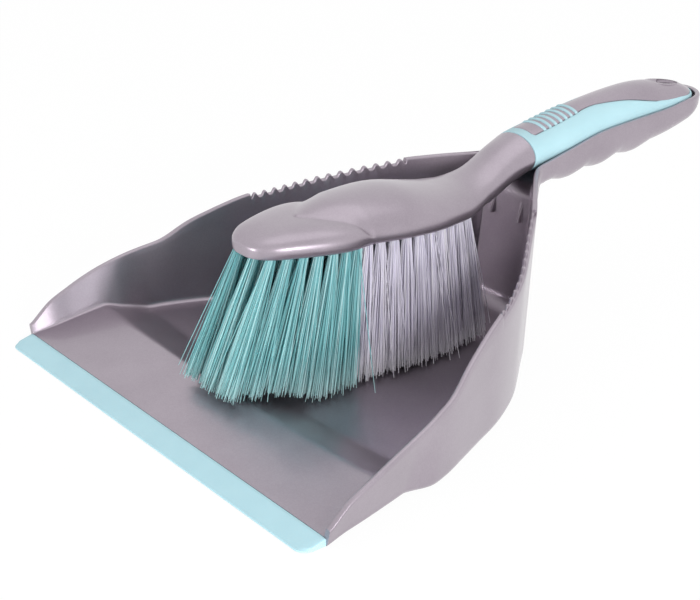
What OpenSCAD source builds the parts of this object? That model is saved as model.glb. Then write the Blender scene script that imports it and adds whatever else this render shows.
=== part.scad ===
// Dust pan and brush set: a hand brush that nests in the pan it belongs to.
// Millimetres, +Z up. +Y runs from the pan's lip to the handles, X = 0 is the mirror plane,
// and the origin is on the ground under the middle of the whole set.
// Lengths inside the modules are measured from the front edge of the lip, and in_frame()
// moves each piece from there to the origin.

/* [Pan] */
// Width of the pan across its mouth
pan_w = 228; // [190:1:260]
// Length from the lip to where the walls run into the handle
basin_l = 209; // [190:1:240]
// Height of the walls where they run into the handle
rim_h = 76.5; // [66:0.5:90]
// Thickness of the moulded wall
wall_t = 2.5; // [1.8:0.1:3.2]
// Flare of the walls at the mouth, outwards for each millimetre of height
mouth_flare = 0.23; // [0.15:0.01:0.32]
// Flare of the walls at the back
back_flare = 0.045; // [0.03:0.005:0.1]
// Thickness of the basin's floor
floor_t = 3; // [2:0.1:3.5]
// Outer radius between the walls and the floor
foot_r = 5; // [3.5:0.5:8]
// Inner radius between the walls and the floor
inner_r = 3; // [2:0.5:5]

/* [Ramp] */
// Distance from the lip to the crest of the ramp
crest_y = 47; // [36:1:52]
// How much nearer to the lip the crest is in its middle
crest_bow = 4.5; // [0:0.5:7]
// Height of the crest
crest_h = 10; // [9:0.5:14]
// Length of the slope from the crest down to the floor
slope_l = 21; // [16:1:28]
// Height of the skirt's lower edge under the crest
skirt_lift = 2; // [1:0.5:4]

/* [Lip] */
// Depth of the soft strip from front to back
lip_l = 11.1; // [7:0.1:12]
// Height of the strip at its back edge
lip_h = 3.5; // [3:0.1:4]
// Thickness of the strip's front edge
lip_edge = 0.8; // [0.5:0.1:1.5]
// How much each end of the strip stops short of the pan's side
lip_inset = 2.5; // [0.5:0.5:3]
// Radius of the strip's front corners
lip_corner_r = 5; // [2:0.5:6]
// Length of the pan's tongue inside the strip
tongue_l = 4; // [2.5:0.5:4.5]
// Thickness of that tongue
tongue_t = 1.2; // [0.8:0.1:1.4]

/* [Comb] */
// Teeth on each wall for combing the bristles clean
comb_teeth = 14; // [6:1:15]
// Distance from tooth to tooth, along the pan
comb_pitch = 4.3; // [3.6:0.1:4.8]
// Width of a tooth at its top
tooth_w = 1; // [0.8:0.1:2]
// Height of a tooth
tooth_h = 2.1; // [1:0.1:2.5]
// Distance from the last tooth to the start of the handle
comb_back = 32; // [26:1:40]

/* [Pan handle] */
// Length of the pan's handle
handle_l = 121; // [105:1:140]
// Width of the channel, over its walls
channel_w = 34; // [32:0.5:40]
// Depth of the channel where it starts
channel_h = 11; // [9:0.5:13]
// Finger bumps under the handle
finger_bumps = 3; // [2:1:4]
// Length of one bump
bump_l = 22.5; // [18:0.5:26]
// Height of a bump
bump_h = 2.8; // [1.5:0.1:4]

/* [Hanging] */
// Diameter of the hanging holes
hang_d = 9; // [6:0.5:10]
// Distance from the hanging holes to the end of the handle
hang_inset = 18; // [17:0.5:24]

/* [Brush] */
// Height of the brush's back over the floor of the channel
brush_h = 31; // [28:0.5:36]
// Gap between the brush's grip and the channel's walls
nest_gap = 0.6; // [0.4:0.1:1.2]
// Gap between the brush's end and the end of the channel
end_gap = 1.6; // [1:0.1:3]
// Length of the brush's head
head_l = 114; // [100:0.5:125]
// Width of the head behind its waist
head_w = 52; // [46:0.5:60]
// Length of the neck between head and grip
neck_l = 42; // [36:0.5:50]
// Thickness of the soft grip's skin
grip_t = 1.8; // [1.2:0.1:2.4]
// Width of the hard tongue on top of the grip
thumb_w = 14.5; // [10:0.5:16]
// Ribs across the tongue
thumb_ribs = 7; // [5:1:8]
// Distance from rib to rib
rib_pitch = 3.5; // [3:0.1:4]

/* [Bristles] */
// Diameter of a tuft where it leaves the head
tuft_d = 4.2; // [3.4:0.1:4.6]
// Diameter of a tuft at its tips
tip_d = 5.8; // [5:0.1:6.2]
// Distance from row to row
row_pitch = 6.4; // [6:0.1:6.6]
// Distance from the front of the head to the first row
row_start = 8; // [6.5:0.5:10]
// Distance from the edge of the head to the outer tufts
edge_gap = 4; // [3:0.1:5]
// Depth of the tuft holes
hole_depth = 5.5; // [4.5:0.1:6]
// Gap between the tips and the pan
tip_gap = 1.5; // [0.8:0.1:3]
// How far the front row leans forward
front_lean = 25; // [15:1:30]
// How far the last row leans back
back_lean = 8; // [4:0.5:12]
// Thickness of the wire that anchors a tuft
anchor_t = 0.5; // [0.3:0.1:0.8]
// Height of that wire
anchor_h = 1.8; // [1.2:0.1:2.2]

/* [Hidden] */
TEAL_ROWS = 7;
WHITE_ROWS = 10;

GREY = "#a79da3";
LIP_BLUE = "#aedfe8";
GRIP_BLUE = "#bde6ee";
TEAL = "#6fcfc6";
WHITE = "#dedbe6";
STEEL = "#b8bbc0";

set_l = basin_l + handle_l;
handle_half = channel_w / 2;
hang_y = set_l - hang_inset;
bore_facets = 48;
cut = 1; // how far a cutter runs past the face it cuts
bore_past = 5; // and past the sloping faces round a hanging hole

// ---- Smooth curves through a few points [along, across] -------------------------------
function point_slope(p, i) =
    let (a = max(0, i - 1), b = min(len(p) - 1, i + 1)) (p[b][1] - p[a][1]) / (p[b][0] - p[a][0]);
function piece_of(p, u, i = 0) = (i >= len(p) - 2 || u < p[i + 1][0]) ? i : piece_of(p, u, i + 1);
function smooth(p, u) =
    let (i = piece_of(p, u), h = p[i + 1][0] - p[i][0], s = min(1, max(0, (u - p[i][0]) / h)),
         m0 = point_slope(p, i) * h, m1 = point_slope(p, i + 1) * h)
    (2 * s^3 - 3 * s^2 + 1) * p[i][1] + (s^3 - 2 * s^2 + s) * m0
        + (3 * s^2 - 2 * s^3) * p[i + 1][1] + (s^3 - s^2) * m1;
function steps(from, to, n) = [for (k = [0:n - 1]) from + (to - from) * k / n];

// ---- Pan: its outline from above and its rim from the side ----------------------------
// Half width of the basin over its rim, from the handle's (0) to the mouth's (1), along the basin.
basin_plan = [[0, 1], [0.118, 1], [0.208, 0.99], [0.287, 0.966], [0.346, 0.931], [0.406, 0.887],
              [0.515, 0.792], [0.574, 0.741], [0.633, 0.675], [0.693, 0.593], [0.747, 0.498], [0.802, 0.396],
              [0.861, 0.288], [0.901, 0.2], [0.951, 0.094], [0.976, 0.043], [1, 0]];
// Height of the rim as a share of rim_h, along the basin.
basin_rim = [[0.054, 0.097], [0.096, 0.196], [0.114, 0.226], [0.148, 0.268], [0.178, 0.305], [0.218, 0.348],
              [0.267, 0.391], [0.317, 0.428], [0.351, 0.451], [0.366, 0.461], [0.386, 0.485], [0.435, 0.569],
              [0.485, 0.63], [0.525, 0.673], [0.564, 0.707], [0.614, 0.735], [0.683, 0.788], [0.772, 0.866],
              [0.822, 0.906], [0.861, 0.934], [0.921, 0.969], [1, 1]];
// Rise of the channel's rim above rim_h, as a share of channel_h, along the handle.
channel_rim = [[0, 0], [0.16, 0.36], [0.34, 0.75], [0.5, 0.86], [0.75, 0.95], [0.88, 1.1], [1, 1.12]];
// Rise of the handle's underside above its start, as a share of channel_h.
channel_floor = [[0, 0], [0.08, 0.07], [0.3, 0.12], [0.5, 0.31], [0.7, 0.46], [0.84, 0.76], [0.93, 1.13],
              [1, 1.64]];

end_round = 15; // length of the rounding at the handle's end
handle_narrow = 2.5; // how much slimmer each side of the handle is at its end
blunt = 80; // the ends are rounded up to this angle, in degrees, and flat from there
function end_taper(y, y_end, from) = y <= from ? 1
    : sqrt(max(0, 1 - (sin(blunt) * (y - from) / (y_end - from))^2));
function plan_slope(y) = (rim_half(y + 1) - rim_half(y - 1)) / 2;
function rim_half(y) = y < basin_l
    ? handle_half + (pan_w / 2 - handle_half) * min(1, smooth(basin_plan, y / basin_l))
    : handle_half - handle_narrow * max(0, along_handle(y))^2;
function along_handle(y) = (y - basin_l) / handle_l;
// The comb is cut into the rim: 0 on a tooth, 1 between two teeth.
comb_end = basin_l - comb_back + comb_pitch / 2;
comb_start = comb_end - comb_teeth * comb_pitch;
tooth_flank = 1;
function comb_cut(y) = (y <= comb_start || y >= comb_end) ? 0
    : let (from_tooth = abs((y - comb_start) % comb_pitch - comb_pitch / 2))
      min(1, max(0, (from_tooth - tooth_w / 2) / tooth_flank));
function rim_line(y) = y < basin_l ? rim_h * smooth(basin_rim, y / basin_l)
    : rim_h + channel_h * smooth(channel_rim, along_handle(y));
function rim_z(y) = rim_line(y) - tooth_h * comb_cut(y);

// ---- Pan: its floor from the side ------------------------------------------------------
slope_end = crest_y + slope_l;
function ramp_z(y) = y <= crest_y ? lip_h + (crest_h - lip_h) * (y - lip_l) / (crest_y - lip_l)
    : crest_h + (floor_t - crest_h) * min(1, (y - crest_y) / slope_l);
skirt_back = slope_end + 1;
function skirt_z(y) = y <= crest_y + slope_l / 3
    ? skirt_lift * (y - lip_l) / (crest_y + slope_l / 3 - lip_l)
    : skirt_lift * max(0, (skirt_back - y) / (skirt_back - crest_y - slope_l / 3));
handle_base = rim_h - channel_h; // underside of the handle where it starts
function bump(y) = (y < bump_from || y > bump_from + finger_bumps * bump_l) ? 0
    : bump_h * abs(sin(180 * (y - bump_from) / bump_l));
bump_from = basin_l + 13;
function under_z(y) = handle_base + channel_h * smooth(channel_floor, along_handle(y));

// The back wall rises from the floor to the handle's underside through two arcs.
back_r = 13;
mouth_r = 6;
back_tilt = 6; // how far the back wall leans back, in degrees
function back_arc(cy, cz, r, from, to, n) =
    [for (k = [0:n]) let (a = from + (to - from) * k / n) [cy + r * cos(a), cz + r * sin(a)]];
mouth_cy = basin_l + 6;
mouth_cz = handle_base - mouth_r;
back_cz = back_r;
back_cy = mouth_cy - (mouth_r + back_r) / cos(back_tilt) - (mouth_cz - back_cz) * tan(back_tilt);
function back_line(inset) = concat(
    back_arc(back_cy, back_cz, back_r - inset, -90, -back_tilt, 7),
    back_arc(mouth_cy, mouth_cz, mouth_r + inset, 180 - back_tilt, 90, 5));

// Stations along the pan: [outer y, outer z, inner y, inner z] of the floor's middle line.
front_stations = [for (y = concat(steps(lip_l, crest_y, 7), [crest_y - 2, crest_y, crest_y + 2],
    steps(crest_y + slope_l / 3, slope_end - 2, 2), [slope_end - 2, slope_end + 1]))
    [y, skirt_z(y), y, y < slope_end ? ramp_z(y) : floor_t]];
comb_offsets = [0, comb_pitch / 2 - tooth_w / 2 - tooth_flank, comb_pitch / 2 - tooth_w / 2,
                comb_pitch / 2 + tooth_w / 2, comb_pitch / 2 + tooth_w / 2 + tooth_flank];
basin_ys = concat(steps(slope_end + 6, comb_start - 3, 8), [comb_start - 3, comb_start - 0.4],
    [for (k = [0:comb_teeth - 1], d = [1, 2, 3, 4]) comb_start + k * comb_pitch + comb_offsets[d]],
    [comb_end + 0.4]);
basin_stations = [for (y = basin_ys) [y, 0, y, floor_t]];
back_outer = back_line(0);
back_inner = back_line(floor_t);
back_stations = [for (k = [0:len(back_outer) - 1]) concat(back_outer[k], back_inner[k])];
handle_straight = set_l - end_round - 3;
handle_stations = [for (y = concat([bump_from - 4], steps(bump_from, handle_straight, 30), [handle_straight]))
    [y, under_z(y) - bump(y), y, under_z(y) + floor_t]];
// The channel's end wall: the inner ring stops one wall earlier than the outer one.
end_from = set_l - end_round;
end_stations = [for (a = [0, 12, 24, 36, 48, 60, 70, blunt])
    let (s = sin(a) / sin(blunt), yo = end_from + end_round * s, yi = end_from + (end_round - wall_t) * s)
    [yo, under_z(yo) - bump(yo), yi, min(under_z(yi) + floor_t, rim_z(yi) - 3)]];
PAN_LINE = concat(front_stations, basin_stations, back_stations, handle_stations, end_stations);

// Flare of the walls, from the mouth's (1) to the back's (0), along the basin.
flare_share = [[0, 1], [0.257, 1], [0.287, 0.7], [0.307, 0.4], [0.332, 0.14], [0.366, 0.05], [0.426, 0],
              [1, 0]];
function flare(y) = y >= basin_l ? back_flare
    : back_flare + (mouth_flare - back_flare) * smooth(flare_share, y / basin_l);

// The ramp bows towards the lip: y of a floor point at a share of the half width.
bow_fade = 30; // length behind the slope over which the bow runs out
function bowed(y, share) = y - crest_bow * (1 - share^2) * (y < crest_y ? max(0, (y - lip_l) / (crest_y - lip_l))
    : max(0, min(1, 1 - (y - slope_end) / bow_fade)));

// One U-shaped line across the pan, from the left rim down, across and up to the right rim.
arc_steps = 5;
floor_steps = 3;
function u_line(y, half, r, low, inside) =
    let (top = rim_line(y), r_now = min(r, (y < basin_l ? 0.12 : 0.6) * (top - low), 0.7 * half),
         draft = flare(y) * (top - low) * (y < basin_l ? sqrt(1 + plan_slope(y)^2) : 1),
         foot = max(half - draft - r_now, 0.12 * half),
         r_side = min(r_now, half - foot), side = foot + r_side,
         cut_share = (top - rim_z(y)) / (top - low - r_now),
         right = concat([[half + (side - half) * cut_share, rim_z(y)], [(half + side) / 2, (top + low + r_now) / 2]],
             [for (k = [0:arc_steps]) let (a = 90 * k / arc_steps)
                 [foot + r_side * cos(a), low + r_now * (1 - sin(a))]]))
    concat([for (p = right) [-p[0], y, p[1]]],
           [for (k = [1 - floor_steps:floor_steps - 1]) let (share = k / floor_steps)
               [share * foot, inside ? bowed(y, share) : y, low]],
           [for (k = [len(right) - 1:-1:0]) [right[k][0], y, right[k][1]]]);
function across(y, size) = size * sqrt(1 + plan_slope(y)^2);
channel_r = 13;
function corner_r(y, basin_r, handle_r) =
    basin_r + (handle_r - basin_r) * min(1, max(0, 1 - (basin_l - y) / 12));
function outer_ring(s) = u_line(s[0], rim_half(s[0]) * end_taper(s[0], set_l, end_from),
    corner_r(s[0], foot_r, channel_r), s[1], false);
function inner_ring(s) = u_line(s[2], (rim_half(s[2]) - across(s[2], wall_t))
    * end_taper(s[2], set_l - wall_t, end_from), corner_r(s[2], inner_r, channel_r - wall_t), s[3], true);

// Two triangles between neighbouring points of two rings, the first ring nearer the lip.
function quad(a, b, c, d) = [[a, b, c], [a, c, d]];
function flat_list(groups) = [for (g = groups, item = g) item];
function skin(first, rings, n) = flat_list([for (i = [0:rings - 2], j = [0:n - 2])
    let (a = first + i * n + j) quad(a, a + 1, a + n + 1, a + n)]);
function skin_flipped(first, rings, n) = [for (f = skin(first, rings, n)) [f[2], f[1], f[0]]];

module pan_shell() {
    outer = [for (s = PAN_LINE) outer_ring(s)];
    inner = [for (s = PAN_LINE) inner_ring(s)];
    m = len(PAN_LINE);
    n = len(outer[0]);
    in0 = m * n;
    last = (m - 1) * n;
    left_rim = flat_list([for (i = [0:m - 2]) quad(i * n, (i + 1) * n, in0 + (i + 1) * n, in0 + i * n)]);
    right_rim = flat_list([for (i = [0:m - 2]) let (a = i * n + n - 1)
        quad(a, in0 + a, in0 + a + n, a + n)]);
    front = flat_list([for (j = [0:n - 2]) quad(j, in0 + j, in0 + j + 1, j + 1)]);
    end_top = quad(last, last + n - 1, in0 + last + n - 1, in0 + last);
    heel = arc_steps + 1; // the arc's last point above the floor
    cap = concat(flat_list([for (j = [0:heel - 1]) quad(j, j + 1, n - 2 - j, n - 1 - j)]),
        [for (j = [heel + 1:n - 2 - heel]) [heel, j, j + 1]]);
    outer_cap = [for (f = cap) [for (v = f) last + v]];
    inner_cap = [for (f = cap) [for (k = [2, 1, 0]) in0 + last + f[k]]];
    polyhedron(flat_list(concat(outer, inner)),
        concat(skin(0, m, n), skin_flipped(in0, m, n), left_rim, right_rim, front, end_top,
               outer_cap, inner_cap));
}

module in_frame() { translate([0, -set_l / 2, 0]) children(); }
module hanging_bore(d, low, high) {
    translate([0, hang_y, low]) cylinder(d = d, h = high - low, $fn = bore_facets);
}
// The tongue that the soft strip is moulded round, also the slot it fills in the strip.
lip_half = pan_w / 2 - lip_inset;
tongue_half = lip_half - lip_corner_r;
tongue_z = 0.6; // thickness of the strip under the tongue
module tongue(past) {
    translate([-tongue_half, lip_l - tongue_l, tongue_z]) cube([2 * tongue_half, tongue_l + past, tongue_t]);
}
// The ramp is hollow underneath: its floor and its skirt have the wall's thickness.
module ramp_hollow() {
    ys = [lip_l + wall_t, crest_y, slope_end - 2 * wall_t];
    halves = [rim_half(ys[0]) - 2 * wall_t - 2,
              rim_half(ys[1]) - mouth_flare * (rim_z(ys[1]) - skirt_lift) - 2 * wall_t,
              rim_half(slope_end) - mouth_flare * rim_z(slope_end) - 2 * wall_t];
    shares = [for (k = [-floor_steps:floor_steps]) k / floor_steps];
    n = len(shares);
    m = n * len(ys); // points in each layer, the bottom one first
    points = [for (top = [0, 1], i = [0:2], s = shares)
        [s * halves[i], bowed(ys[i], s), top * (ramp_z(ys[i]) - wall_t) - (1 - top) * cut]];
    across = flat_list([for (i = [0, 1], j = [0:n - 2]) let (a = i * n + j)
        concat(quad(m + a, m + a + n, m + a + n + 1, m + a + 1), quad(a, a + 1, a + n + 1, a + n))]);
    ends = flat_list([for (j = [0:n - 2]) let (b = 2 * n + j)
        concat(quad(j, m + j, m + j + 1, j + 1), quad(b + 1, m + b + 1, m + b, b))]);
    sides = flat_list([for (i = [0, 1]) let (a = i * n, b = a + n - 1)
        concat(quad(a + n, m + a + n, m + a, a), quad(b, m + b, m + b + n, b + n))]);
    polyhedron(points, concat(across, ends, sides));
}
// Two small wedge ribs on the back wall that steady the brush's neck.
rib_half_gap = 8;
wedge_w = 2;
wedge_h = 9;
wedge_out = 2.2;
wedge_drop = 17; // how far under the handle they start
wedge_z = handle_base - wedge_drop;
function back_face(z) = back_inner[7][0] + (z - back_inner[7][1]) * tan(back_tilt);
module wedge_ribs() {
    for (x = [-rib_half_gap - wedge_w, rib_half_gap])
        translate([x, 0, 0]) rotate([90, 0, 90]) linear_extrude(wedge_w)
            polygon([[back_face(wedge_z) + 1, wedge_z], [back_face(wedge_z) - wedge_out, wedge_z + 0.5],
                     [back_face(wedge_z + wedge_h), wedge_z + wedge_h],
                     [back_face(wedge_z + wedge_h) + 1, wedge_z + wedge_h]]);
}
module pan_body() {
    color(GREY) difference() {
        union() {
            pan_shell();
            tongue(cut);
            wedge_ribs();
        }
        ramp_hollow();
        hanging_bore(hang_d, under_z(hang_y) - bore_past, rim_h + 2 * channel_h);
    }
}

// ---- Pan: the soft strip on its lip -----------------------------------------------------
module lip_outline() {
    for (side = [-1, 1]) translate([side * tongue_half, lip_corner_r])
        circle(r = lip_corner_r, $fn = bore_facets);
    translate([-tongue_half, 0]) square([2 * tongue_half, lip_l]);
    translate([-lip_half, lip_corner_r]) square([2 * lip_half, lip_l - lip_corner_r]);
}
module pan_lip() {
    color(LIP_BLUE) difference() {
        intersection() {
            rotate([90, 0, 90]) translate([0, 0, -lip_half]) linear_extrude(2 * lip_half)
                polygon([[0, 0], [lip_l, 0], [lip_l, lip_h], [lip_edge / 2, lip_edge], [0, lip_edge / 2]]);
            linear_extrude(lip_h) lip_outline();
        }
        tongue(cut);
    }
}

// ---- Brush: its outline from above and from the side -----------------------------------
// t runs along the brush: 0 at the nose, 1 where the neck starts, 2 at the grip's collar
// and 3 at the brush's end.
channel_z = handle_base + floor_t; // floor of the channel where it starts
collar_y = basin_l;
neck_y = collar_y - neck_l;
nose_y = neck_y - head_l;
brush_end = set_l - wall_t - end_gap;
function brush_t(y) = y < neck_y ? (y - nose_y) / head_l
    : y < collar_y ? 1 + (y - neck_y) / neck_l : 2 + (y - collar_y) / (brush_end - collar_y);

// Half width of the head as a share of head_w / 2, along the square root of t, with its waist.
head_plan = [[0, 0], [0.1, 0.27], [0.17, 0.41], [0.27, 0.57], [0.37, 0.69], [0.455, 0.8], [0.535, 0.9], [0.6, 0.94],
             [0.65, 0.905], [0.685, 0.865], [0.72, 0.9], [0.79, 0.98], [0.85, 1], [0.895, 0.98],
             [0.94, 0.9], [0.97, 0.84], [1, 0.78]];
// From the head's half width (1) to the grip's (0), along the neck.
neck_plan = [[0, 1], [0.12, 0.66], [0.29, 0.24], [0.48, -0.05], [0.7, -0.12], [1, 0]];
// Height of the dome, neck and grip over the channel's floor, as a share of brush_h, along t.
crown = [[0.25, 0.29], [0.34, 0.4], [0.46, 0.453], [0.62, 0.447], [0.71, 0.412], [0.8, 0.334],
         [0.88, 0.267], [0.97, 0.206], [1.14, 0.19], [1.38, 0.267], [1.57, 0.389], [1.76, 0.535],
         [1.93, 0.62], [2.09, 0.732], [2.27, 0.855], [2.44, 0.935], [2.62, 0.98], [2.72, 0.965],
         [2.81, 0.91], [2.92, 0.833], [3, 0.73]];
// Height of the front lobe, in the same way, and of the neck's underside.
lobe = [[0, 0.15], [0.03, 0.228], [0.09, 0.293], [0.21, 0.325], [0.34, 0.309], [0.43, 0.244], [0.48, 0.13]];
neck_under = [[1, -0.164], [1.17, -0.206], [1.33, -0.238], [1.5, -0.19], [1.64, -0.106],
              [1.83, -0.019], [2, 0.06]];
head_tilt = 2.6; // the head's underside falls towards the neck, in degrees
head_edge = 3; // height of the head's widest line over its underside
dome_front = 0.25; // where the dome starts and where it is as wide as the head, in t
dome_full = 0.47;
brush_round = 13; // length of the rounding at the brush's end
function grip_half(y) = (rim_half(max(y, basin_l)) - wall_t - nest_gap)
    * end_taper(y, brush_end, brush_end - brush_round);
function brush_half(y) = y < neck_y ? head_w / 2 * smooth(head_plan, sqrt(max(0, brush_t(y))))
    : y < collar_y ? grip_half(collar_y) + (head_w / 2 * 0.78 - grip_half(collar_y))
        * smooth(neck_plan, brush_t(y) - 1)
    : grip_half(y);
function dome_half(y) = brush_t(y) >= dome_full ? brush_half(y)
    : brush_half(nose_y + dome_full * head_l)
        * sqrt(max(0, brush_t(y) - dome_front) / (dome_full - dome_front));
function head_under(y) = channel_z - (y - nose_y) * tan(head_tilt);
seat_gap = 1.4; // under the grip, where it lies over the channel's floor
function brush_under(y) = y < neck_y ? head_under(y)
    : y < collar_y ? channel_z + (head_under(neck_y) - channel_z) * (1 - (brush_t(y) - 1))
        + brush_h * (smooth(neck_under, brush_t(y)) + 0.164 * (2 - brush_t(y)))
    : grip_middle(y) - (grip_middle(y) - under_z(y) - floor_t - seat_gap) * end_height(y)
        + brush_h * 0.06 * max(0, 1 - (y - collar_y) / 20) - seat_gap * max(0, 1 - (y - collar_y) / 20);
function crown_z(y) = channel_z + brush_h * smooth(crown, brush_t(y));
function grip_middle(y) = (crown_z(y) + under_z(y) + floor_t + seat_gap) / 2;
function end_height(y) = end_taper(y, brush_end, brush_end - brush_round)^0.6;
function brush_top(y) = y < collar_y ? crown_z(y)
    : grip_middle(y) + (crown_z(y) - grip_middle(y)) * end_height(y);
function lobe_top(y) = channel_z + brush_h * smooth(lobe, brush_t(y));
// 0 on the head, where the underside is flat, and 1 on the neck and grip, where it is round.
function roundness(y) = min(1, max(0, (brush_t(y) - 0.95) / 0.3));
function widest_z(y) = let (head = brush_under(y) + head_edge, round = (brush_top(y) + brush_under(y)) / 2)
    head + (round - head) * roundness(y);
flat_from = 25; // the underside is flat from this angle on, in degrees

// A point of the brush's skin: angle 0 is the top, 90 the right side and 180 the underside.
function top_z(y, x, inset) =
    let (wide = widest_z(y), half = brush_half(y), low = lobe_top(y) - wide, high = brush_top(y) - wide,
         dome = dome_half(y), s = min(1, abs(x) / half), r = min(1, abs(x) / max(dome, 0.01)))
    wide + max(brush_t(y) < dome_full + 0.01 ? low * (1 - s^3)^(1 / 3) : 0,
               brush_t(y) > dome_front ? (high - inset) * sqrt(1 - r^2) : 0);
function skin_point(y, angle, inset) =
    let (half = brush_half(y) - inset, x = half * sin(angle), wide = widest_z(y),
         sharp = 1 + (1 / sin(flat_from) - 1) * (1 - roundness(y)))
    angle <= 90
        ? [x, y, inset == 0 ? top_z(y, x, 0)
            : wide + (brush_top(y) - wide - inset) * sqrt(max(0, 1 - (x / half)^2))]
        : [x, y, wide - (wide - brush_under(y) - inset) * min(1, sharp * abs(cos(angle)))];

// ---- Brush: the hard core and the soft grip moulded round it ----------------------------
// The hard panel on top of the grip: a ribbed tongue that widens towards the end.
panel_share = [[2.18, 0], [2.27, -0.09], [2.32, -0.21], [2.375, -0.21], [2.43, -0.04], [2.53, 0.31],
               [2.63, 0.69], [2.7, 0.87], [2.78, 0.99], [2.84, 1], [3, 1]];
widest_panel = 0.97; // half width of the panel at its end, as a share of the grip's
function panel_half(y) = thumb_w / 2 + (widest_panel * brush_half(y) - thumb_w / 2)
    * smooth(panel_share, max(2.18, brush_t(y)));
function panel_angle(y) = asin(min(widest_panel, panel_half(y) / brush_half(y)));
rib_w = 1.5;
rib_h = 0.7;
rib_flank = 0.3;
rib_start = collar_y + 10;
rib_end = rib_start + thumb_ribs * rib_pitch;
function rib_up(y) = (y <= rib_start || y >= rib_end) ? 0
    : let (off = abs((y - rib_start) % rib_pitch - rib_pitch / 2))
      rib_h * (1 - min(1, max(0, (off - rib_w / 2) / rib_flank)));
rib_offsets = [rib_pitch / 2 - rib_w / 2 - rib_flank, rib_pitch / 2 - rib_w / 2,
               rib_pitch / 2 + rib_w / 2, rib_pitch / 2 + rib_w / 2 + rib_flank];
panel_edge = 0.5; // angle between the panel's edge and the grip's, in degrees
top_steps = 3;
side_steps = 5;
under_steps = 6;
function side_angles(y) = let (from = panel_angle(y) + panel_edge)
    concat([for (k = [0:side_steps]) from + (90 - from) * k / side_steps],
           [for (k = [1:under_steps]) 90 + 90 * k / under_steps]);
function mirrored(right) = concat(right, [for (k = [len(right) - 2:-1:1]) [-right[k][0], right[k][1], right[k][2]]]);
function core_ring(y, inset) = mirrored(concat(
    [for (k = [0:top_steps]) skin_point(y, panel_angle(y) * k / top_steps, 0) + [0, 0, rib_up(y)]],
    [for (a = side_angles(y)) skin_point(y, a, inset)]));
grip_end = brush_end - grip_t; // end of the core, one skin short of the brush's end
collar_step = 0.1;
head_ys = [for (t = [0.003, 0.01, 0.025, 0.05, 0.08, 0.12, 0.16, 0.2, 0.24, 0.27, 0.3, 0.34, 0.38, 0.42,
    0.46, 0.5, 0.55, 0.61, 0.67, 0.73, 0.79, 0.85, 0.9, 0.95]) nose_y + t * head_l];
neck_ys = steps(neck_y, collar_y, 9);
grip_ys = concat([rib_start - 4],
    [for (k = [0:thumb_ribs - 1], d = rib_offsets) rib_start + k * rib_pitch + d],
    steps(rib_end + 4, brush_end - brush_round, 9),
    [for (a = [0, 18, 36, 50]) brush_end - brush_round + brush_round * sin(a)], [grip_end]);
core_rings = concat([for (y = concat(head_ys, neck_ys, [collar_y])) core_ring(y, 0)],
    [for (y = concat([collar_y + collar_step], grip_ys)) core_ring(y, grip_t)]);

// A closed skin over rings of the same number of points, with a flat cap at both ends.
module loft(rings) {
    n = len(rings[0]);
    m = len(rings);
    polyhedron(flat_list(rings), concat(
        flat_list([for (i = [0:m - 2], j = [0:n - 1]) let (a = i * n + j, b = i * n + (j + 1) % n)
            quad(a, a + n, b + n, b)]),
        [[for (j = [0:n - 1]) j], [for (j = [n - 1:-1:0]) (m - 1) * n + j]]));
}
module brush_core() {
    color(GREY) difference() {
        loft(core_rings);
        for (k = [0:TEAL_ROWS + WHITE_ROWS - 1], x = row_xs(k)) at_tuft(k, x)
            translate([0, 0, -hole_depth]) cylinder(d = tuft_d, h = hole_depth + tuft_d, $fn = bore_facets);
        hanging_bore(hang_d, under_z(hang_y), crown_z(hang_y) + bore_past);
    }
}

// The grip is C-shaped: open along the panel, and closed over the end of the core.
function grip_angles(y) = let (right = side_angles(y))
    concat(right, [for (k = [len(right) - 2:-1:0]) 360 - right[k]]);
function grip_point(y, a, inset) = a <= 180 ? skin_point(y, a, inset)
    : let (p = skin_point(y, 360 - a, inset)) [-p[0], p[1], p[2]];
grip_step = 1.2; // how much wider the hanging hole is in the soft skin
module grip_skin() {
    ys = concat([collar_y + collar_step], grip_ys);
    outer = [for (y = ys) [for (a = grip_angles(y)) grip_point(y, a, 0)]];
    inner = [for (y = ys) [for (a = grip_angles(y)) grip_point(y, a, grip_t)]];
    far = [for (p = outer[len(ys) - 1]) [0.5 * p[0], brush_end,
        widest_z(grip_end) + 0.6 * (p[2] - widest_z(grip_end))]];
    m = len(ys);
    n = len(outer[0]);
    in0 = (m + 1) * n;
    last = (m - 1) * n;
    edges = flat_list([for (i = [0:m - 2]) concat(
        quad(i * n, in0 + i * n, in0 + (i + 1) * n, (i + 1) * n),
        quad((i + 1) * n + n - 1, in0 + (i + 1) * n + n - 1, in0 + i * n + n - 1, i * n + n - 1))]);
    collar = flat_list([for (j = [0:n - 2]) quad(j, j + 1, in0 + j + 1, in0 + j)]);
    end_top = concat(quad(last, in0 + last, in0 + last + n - 1, last + n - 1),
        quad(last + n, last, last + n - 1, last + 2 * n - 1));
    polyhedron(flat_list(concat(outer, [far], inner)), concat(
        skin_flipped(0, m + 1, n), skin(in0, m, n), edges, collar, end_top,
        [[for (j = [n - 1:-1:0]) last + n + j]], [[for (j = [0:n - 1]) in0 + last + j]]));
}
module brush_grip() {
    color(GRIP_BLUE) difference() {
        grip_skin();
        hanging_bore(hang_d + grip_step, under_z(hang_y), crown_z(hang_y));
    }
}

// ---- Bristles: tufts in rows across the head ---------------------------------------------
function row_y(k) = nose_y + row_start + k * row_pitch;
function row_xs(k) = let (reach = brush_half(row_y(k)) - edge_gap, pairs = reach > 14 ? 2 : 1)
    [for (i = [-pairs:pairs]) reach * i / pairs];
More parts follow.
